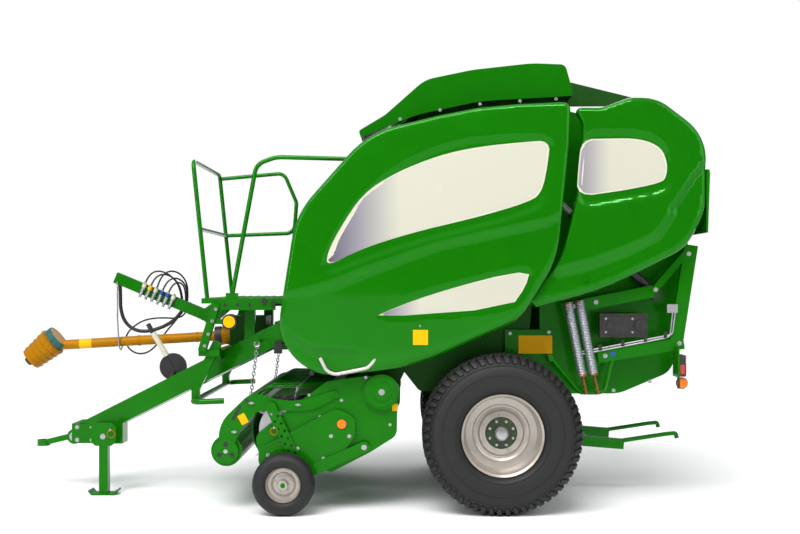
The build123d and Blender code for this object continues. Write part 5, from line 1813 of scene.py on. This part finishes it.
@dataclass
class FrontTrim:
    """Fittings of the drawbar, jack, platform, shaft guard and couplers."""

    BELL_BACK = Vector((-3640.0, 0.0, 1205.0))
    BELL_MOUTH = Vector((-3822.0, 0.0, 1057.0))
    TUBE_FRONT = Vector((-3575.0, 0.0, 1175.0))
    TUBE_BACK = Vector((-2146.0, 0.0, 1258.0))
    COUPLER_TOPS = ((-2861, 1695), (-2813, 1675), (-2765, 1655), (-2717, 1635), (-2669, 1615), (-2621, 1595))
    COUPLER_LOOKS = (Look.CREAM, Look.YELLOW, Look.CREAM, Look.BLUE, Look.BLUE, Look.CREAM)

    def gather(self, kit: Kit) -> None:
        """Add the front's fittings.

        Args:
            kit: gathers them.
        """
        self._shaft(kit)
        self._jack(kit)
        self._platform(kit)
        for (x, z), look in zip(self.COUPLER_TOPS, self.COUPLER_LOOKS):
            form = kit.form("chassis", look)
            low, high = place(x - 17, -45, z - 41), place(x - 5, -45, z - 12)
            add_rod(form, low, high, 0.0182, 24)
            add_rod(kit.form("chassis", Look.STEEL), place(x - 4, -45, z - 9), place(x + 1, -45, z + 3),
                    0.0105, 6)
        sleeve = kit.form("chassis", Look.CREAM)
        add_rod(sleeve, place(-2652, -198, 1097), place(-2764, -198, 1286), 0.0228, 28)
        add_rod(kit.form("chassis", Look.PLASTIC), place(-2782, -198, 1316), place(-2806, -198, 1357),
                0.019, 24)

    def _shaft(self, kit: Kit) -> None:
        """Ribs, collar and band of the drive shaft's guard.

        Args:
            kit: gathers the fittings.
        """
        axis = (self.BELL_MOUTH - self.BELL_BACK).normalized()
        length = (self.BELL_MOUTH - self.BELL_BACK).length
        bell, teal = kit.form("chassis", Look.OCHRE), kit.form("chassis", Look.TEAL)
        for share in (0.04, 0.24, 0.44, 0.64, 0.84):
            radius = (118 + (92 - 118) * share + 3.5) / 1000
            sleeve(bell, self.BELL_BACK, axis, (length * share, length * share + 9), radius, 0.010, 48)
        sleeve(teal, self.BELL_BACK, axis, (-62, -6), 0.1, 0.004)
        for k in range(8):
            turn = 2 * math.pi * k / 8
            side = Vector((0, 1, 0)) * math.cos(turn) + axis.cross(Vector((0, 1, 0))) * math.sin(turn)
            ends = (place(*(self.BELL_BACK + axis * far + side * 98)) for far in (-54, -12))
            add_rod(teal, *ends, 0.007, 8)
        along = (self.TUBE_BACK - self.TUBE_FRONT).normalized()
        sleeve(kit.form("chassis", Look.YELLOW), self.TUBE_FRONT, along, (160, 262), 0.0408, 0.0012)
        for far in (640, 655, 1130):
            sleeve(bell, self.TUBE_FRONT, along, (far, far + 9), 0.0435, 0.004)
        sleeve(kit.form("chassis", Look.PLASTIC), self.TUBE_FRONT, along, (1290, 1345), 0.0785, 0.005)

    def _jack(self, kit: Kit) -> None:
        """Plates, pins and bolts round the jack and the tow eye.

        Args:
            kit: gathers the fittings.
        """
        green, steel = kit.form("chassis", Look.FRAME_GREEN), kit.form("chassis", Look.STEEL)
        add_slab(green, [(-3215, 420), (-3180, 392), (-3055, 392), (-3020, 420), (-3020, 545), (-3050, 575),
                         (-3190, 575), (-3215, 545)], -384, -377)
        disc(steel, -3120, 467, -392, -380, 24, 6)
        disc(steel, -3060, 520, -398, -380, 10, 16)
        loop(kit.form("chassis", Look.OCHRE), -3052, 488, -396, 30, 3)
        for s, _ in SIDES:
            disc(steel, -3441, 425, s * 74, s * 82, 40, 32)
            kit.bolt("chassis", -3441, s * 86, 425, 0.018)
            for x, z in ((-3395, 512), (-3395, 408), (-3275, 512), (-3275, 408)):
                kit.bolt("chassis", x, s * 153, z, 0.012)
            for x in (-1560, -1480, -900):
                for z in (1275, 1360):
                    kit.bolt("chassis", x, s * 703, z, 0.013)
            for z in (1210, 1300, 1400, 1490):
                kit.bolt("chassis", -2250 + (z - 1170) * 0.30, s * 772, z, 0.009)

    def _platform(self, kit: Kit) -> None:
        """Canister, buffers, holes drawn as discs of painted shade, lugs and tread studs of the platform.

        Args:
            kit: gathers the fittings.
        """
        black, dark = kit.form("chassis", Look.PLASTIC), kit.form("chassis", Look.BLACK)
        for s, _ in SIDES:
            # Dark discs stand for holes in the platform's sides: painted shade where the openings are.
            for x in (-2086, -1990, -1895):
                disc(dark, x, 1522, s * 750, s * 754.8, 13)
            for x, z in ((-1788, 1550), (-1720, 1532)):
                disc(black, x, z, s * 753, s * 772, 20)
            block(kit.form("chassis", Look.FRAME_GREEN), (-1862, -1818), (s * 630, s * 782), (1240, 1254))
        disc(black, -2048, 1395, -796, -700, 58, 40)
        disc(kit.form("chassis", Look.YELLOW), -2048, 1395, -799, -794, 45, 40)
        block(kit.form("chassis", Look.FRAME_GREEN), (-2225, -2040), (-752, -738), (1376, 1414))
        for k in range(6):
            block(black, (-1715, -1654), (-738, -699), (1150 + 17 * k, 1161 + 17 * k))
        block(black, (-1712, -1657), (-734, -699), (1152, 1246))
        studs = kit.form("chassis", Look.GREEN)
        for i in range(9):
            for j in range(18):
                x, y = -2225 + 68 * i, -700 + 80 * j + (40 if i % 2 else 0)
                if y < 705:
                    add_rod(studs, place(x, y, 1572.5), place(x, y, 1577), 0.011, 8, 0.008)


@dataclass
class TailTrim:
    """Lamps, pipes, boxes and stickers on the tailgate and the rear of the chamber walls."""

    side: int

    def gather(self, kit: Kit) -> None:
        """Add this side's fittings.

        Args:
            kit: gathers them.
        """
        s = self.side
        green, black = kit.form("tailgate", Look.FRAME_GREEN), kit.form("tailgate", Look.PLASTIC)
        steel, amber = kit.form("tailgate", Look.STEEL), kit.form("tailgate", Look.AMBER)
        plate = [(60, 1100), (110, 1060), (425, 1060), (445, 1090), (445, 1330), (60, 1330)]
        add_slab(kit.form("chassis", Look.FRAME_GREEN), plate, s * 652, s * 658)
        for x, z in ((100, 1120), (400, 1120), (100, 1300), (400, 1310)):
            add_rod(kit.form("chassis", Look.FRAME_GREEN), place(x, s * 619, z), place(x, s * 653, z),
                    0.014, 16)
            kit.bolt("chassis", x, s * 660, z, 0.009)
        block(kit.form("chassis", Look.YELLOW), (165, 425), (s * 657, s * 660), (1145, 1285))
        strake = [(1518, 2062), (1530, 2062), (1545, 2500), (1540, 2530), (1518, 2530)]
        add_slab(green, strake, s * 599, s * 1035)
        block(black, (776, 1094), (s * 879, s * 888), (1303, 1439))
        disc(black, 1062, 1371, s * 887, s * 906, 44, 36)
        disc(black, 830, 1371, s * 887, s * 900, 26, 30)
        for x in (800, 1000):
            kit.bolt("tailgate", x, s * 890, 1422, 0.006)
            kit.bolt("tailgate", x, s * 890, 1320, 0.006)
        for offset in (0, 19):
            add_tube(steel, [place(600, s * 868, 1150 + offset), place(700, s * 868, 1168 + offset),
                             place(1285 + offset, s * 868, 1282 + offset),
                             place(1308 + offset, s * 868, 1480)], 0.006, 0.04, 10)
        block(steel, (1262, 1342), (s * 860, s * 884), (1466, 1530))
        for x in (760, 930, 1100, 1250):
            rise = (x - 600) * 0.193
            block(black, (x - 12, x + 12), (s * 859, s * 878), (1150 + rise, 1196 + rise))
        block(kit.form("tailgate", Look.BLUE), (838, 876), (s * 859, s * 862), (1138, 1168))
        block(kit.form("tailgate", Look.BLUE), (500, 540), (s * 859, s * 862), (1482, 1508))
        red = kit.form("tailgate", Look.RED)
        block(red, (1384, 1391), (s * 806, s * 944), (996, 1092))
        block(amber, (1384, 1391), (s * 806, s * 944), (1098, 1144))
        block(red, (1345, 1378), (s * 949, s * 953), (1010, 1080))
        block(black, (1333, 1345), (s * 895, s * 935), (900, 1005))
        disc(black, 1367, 939, s * 895, s * 912, 43, 32)
        disc(amber, 1367, 939, s * 911, s * 918, 37, 32)
        for x, z in ((800, 1140), (1360, 1235), (730, 1545), (1430, 1910), (1180, 1640), (560, 1512)):
            kit.bolt("tailgate", x, s * 863, z, 0.012)
        for x, z in ((430, 900), (900, 860), (1180, 930), (1380, 1120), (1462, 1500), (1470, 1800)):
            kit.bolt("tailgate", x, s * 651, z, 0.010)


@dataclass
class BodyTrim:
    """Stickers and bolts on the doors and the roof lid."""

    side: int
    door: SidePanel

    def gather(self, kit: Kit) -> None:
        """Add this side's fittings.

        Args:
            kit: gathers them.
        """
        s = self.side
        word = SIDE_WORDS[s]
        x0, z1 = on_plane(413, 330, -1150)
        x1, z0 = on_plane(428, 345, -1150)
        y = 1150 - self.door.relief((x0 + x1) / 2, (z0 + z1) / 2)
        block(kit.form(f"door_{word}", Look.YELLOW), (x0, x1), (s * (y - 3), s * (y + 2)), (z0, z1))
        x, z = on_plane(420, 326, -1150)
        kit.bolt(f"door_{word}", x, s * (1150 - self.door.relief(x, z) + 2), z, 0.006)
        for px, py in ((400, 119), (440, 110), (480, 104), (520, 101), (556, 99)):
            x, z = on_plane(px, py, -850)
            kit.bolt("chassis", x, s * 851, z, 0.009)


@dataclass
class LiftChain:
    """Link chain from the drawbar's lug to the crop guard's cross tube, drawn straight and fixed to the
    chassis, though the real chain goes slack when the pick-up lifts.
    """

    side: int
    top: Pair = (-1840.0, 1238.0)
    low: Pair = (-1885.0, 842.0)
    y: float = 762.0
    pitch: float = 0.0255

    def build(self, paints: Paints, maker: NodeMaker) -> None:
        """Make the chain and its shackle.

        Args:
            paints: finishes of the machine.
            maker: the geometry node trees.
        """
        word = SIDE_WORDS[self.side]
        top = place(self.top[0], self.side * self.y, self.top[1] - 34)
        low = place(self.low[0], self.side * self.y, self.low[1])
        count = int((top - low).length / self.pitch)
        points = [top.lerp(low, k / count) for k in range(count + 1)]
        chain = maker.make(f"lift_chain_{word}", maker.links, points,
                           {"Link Length": 0.0285, "Wire Radius": 0.0038}, paints.get(Look.STEEL))
        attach(chain, "chassis")
        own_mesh(chain)
        form = bmesh.new()
        loop(form, self.top[0], self.top[1] - 14, self.side * self.y, 20, 5)
        shackle = mesh_from(f"chain_shackle_{word}", form)
        paints.dress(shackle, Look.STEEL)
        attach(shackle, "chassis")


# The CAD nodes that stay


class CarriedNodes:
    """Finishes of the CAD nodes that keep their own shape."""

    LOOKS = {
        Look.GREEN: ("front_rails", "grab_rail", "roof_panel", "door_left", "door_right", "rear_panel_left",
                     "rear_panel_right"),
        Look.FRAME_GREEN: ("bale_ramp", "drawbar", "tow_eye", "jack_leg", "hose_bar", "platform",
                           "step_frame", "tailgate_walls", "tailgate_frames", "rear_guard", "pickup_frame",
                           "pickup_shields", "gauge_arms", "crop_guard", "crop_roller"),
        Look.DARK_GREEN: ("chamber_walls", "axle_frame", "gearbox", "front_cover", "top_plates",
                          "stripper_bands"),
        Look.STEEL: ("ram_rod_left", "ram_rod_right", "floor_rollers", "shaft_hanger", "couplers",
                     "tailgate_rollers", "tine_reel"),
        Look.RUBBER: ("gauge_tyre_left", "gauge_tyre_right", "tyre_left", "tyre_right"),
        Look.SILVER: ("gauge_rim_left", "gauge_rim_right", "rim_left", "rim_right"),
        Look.PLASTIC: ("tail_modules", "tail_lamps"),
        Look.OCHRE: ("pto_guard",),
        Look.BELT: ("tailgate_belts",),
        Look.SPRING: ("tension_springs",),
    }

    def dress(self, frame: dict, paints: Paints) -> None:
        """Paint every CAD node that stays, black unless it is named above."""
        looks = {name: look for look, names in self.LOOKS.items() for name in names}
        for name, piece in frame["nodes"].items():
            paints.dress(piece, looks.get(name, Look.BLACK))


def main() -> None:
    """Build the looks in order and report the pieces."""
    logging.basicConfig(level=logging.INFO, format="%(message)s")
    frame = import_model()
    Studio().build()
    paints = Paints()
    CarriedNodes().dress(frame, paints)
    maker = NodeMaker()
    kit = Kit()
    FrontTrim().gather(kit)
    for side, _ in SIDES:
        MainTyre(side).build(paints)
        MainRim(side).build(paints)
        GaugeWheel(side).build(paints)
        door = front_door(side)
        door.build(paints)
        rear = rear_panel(side)
        rear.build(paints)
        for plate in blank_plates(door, rear):
            plate.build(paints)
        DoorFittings(side).build(paints)
        PickupTrim(side).gather(kit)
        TailTrim(side).gather(kit)
        BodyTrim(side, door).gather(kit)
        LiftChain(side).build(paints, maker)
    kit.build(paints, maker)
    Springs().build(paints, maker)
    Cords().build(paints)
    for piece in bpy.context.scene.objects:
        if piece.type in ("MESH", "CURVE") and piece.name not in frame["nodes"]:
            LOG.info("piece %s", piece.name)


if __name__ == "__main__":
    main()
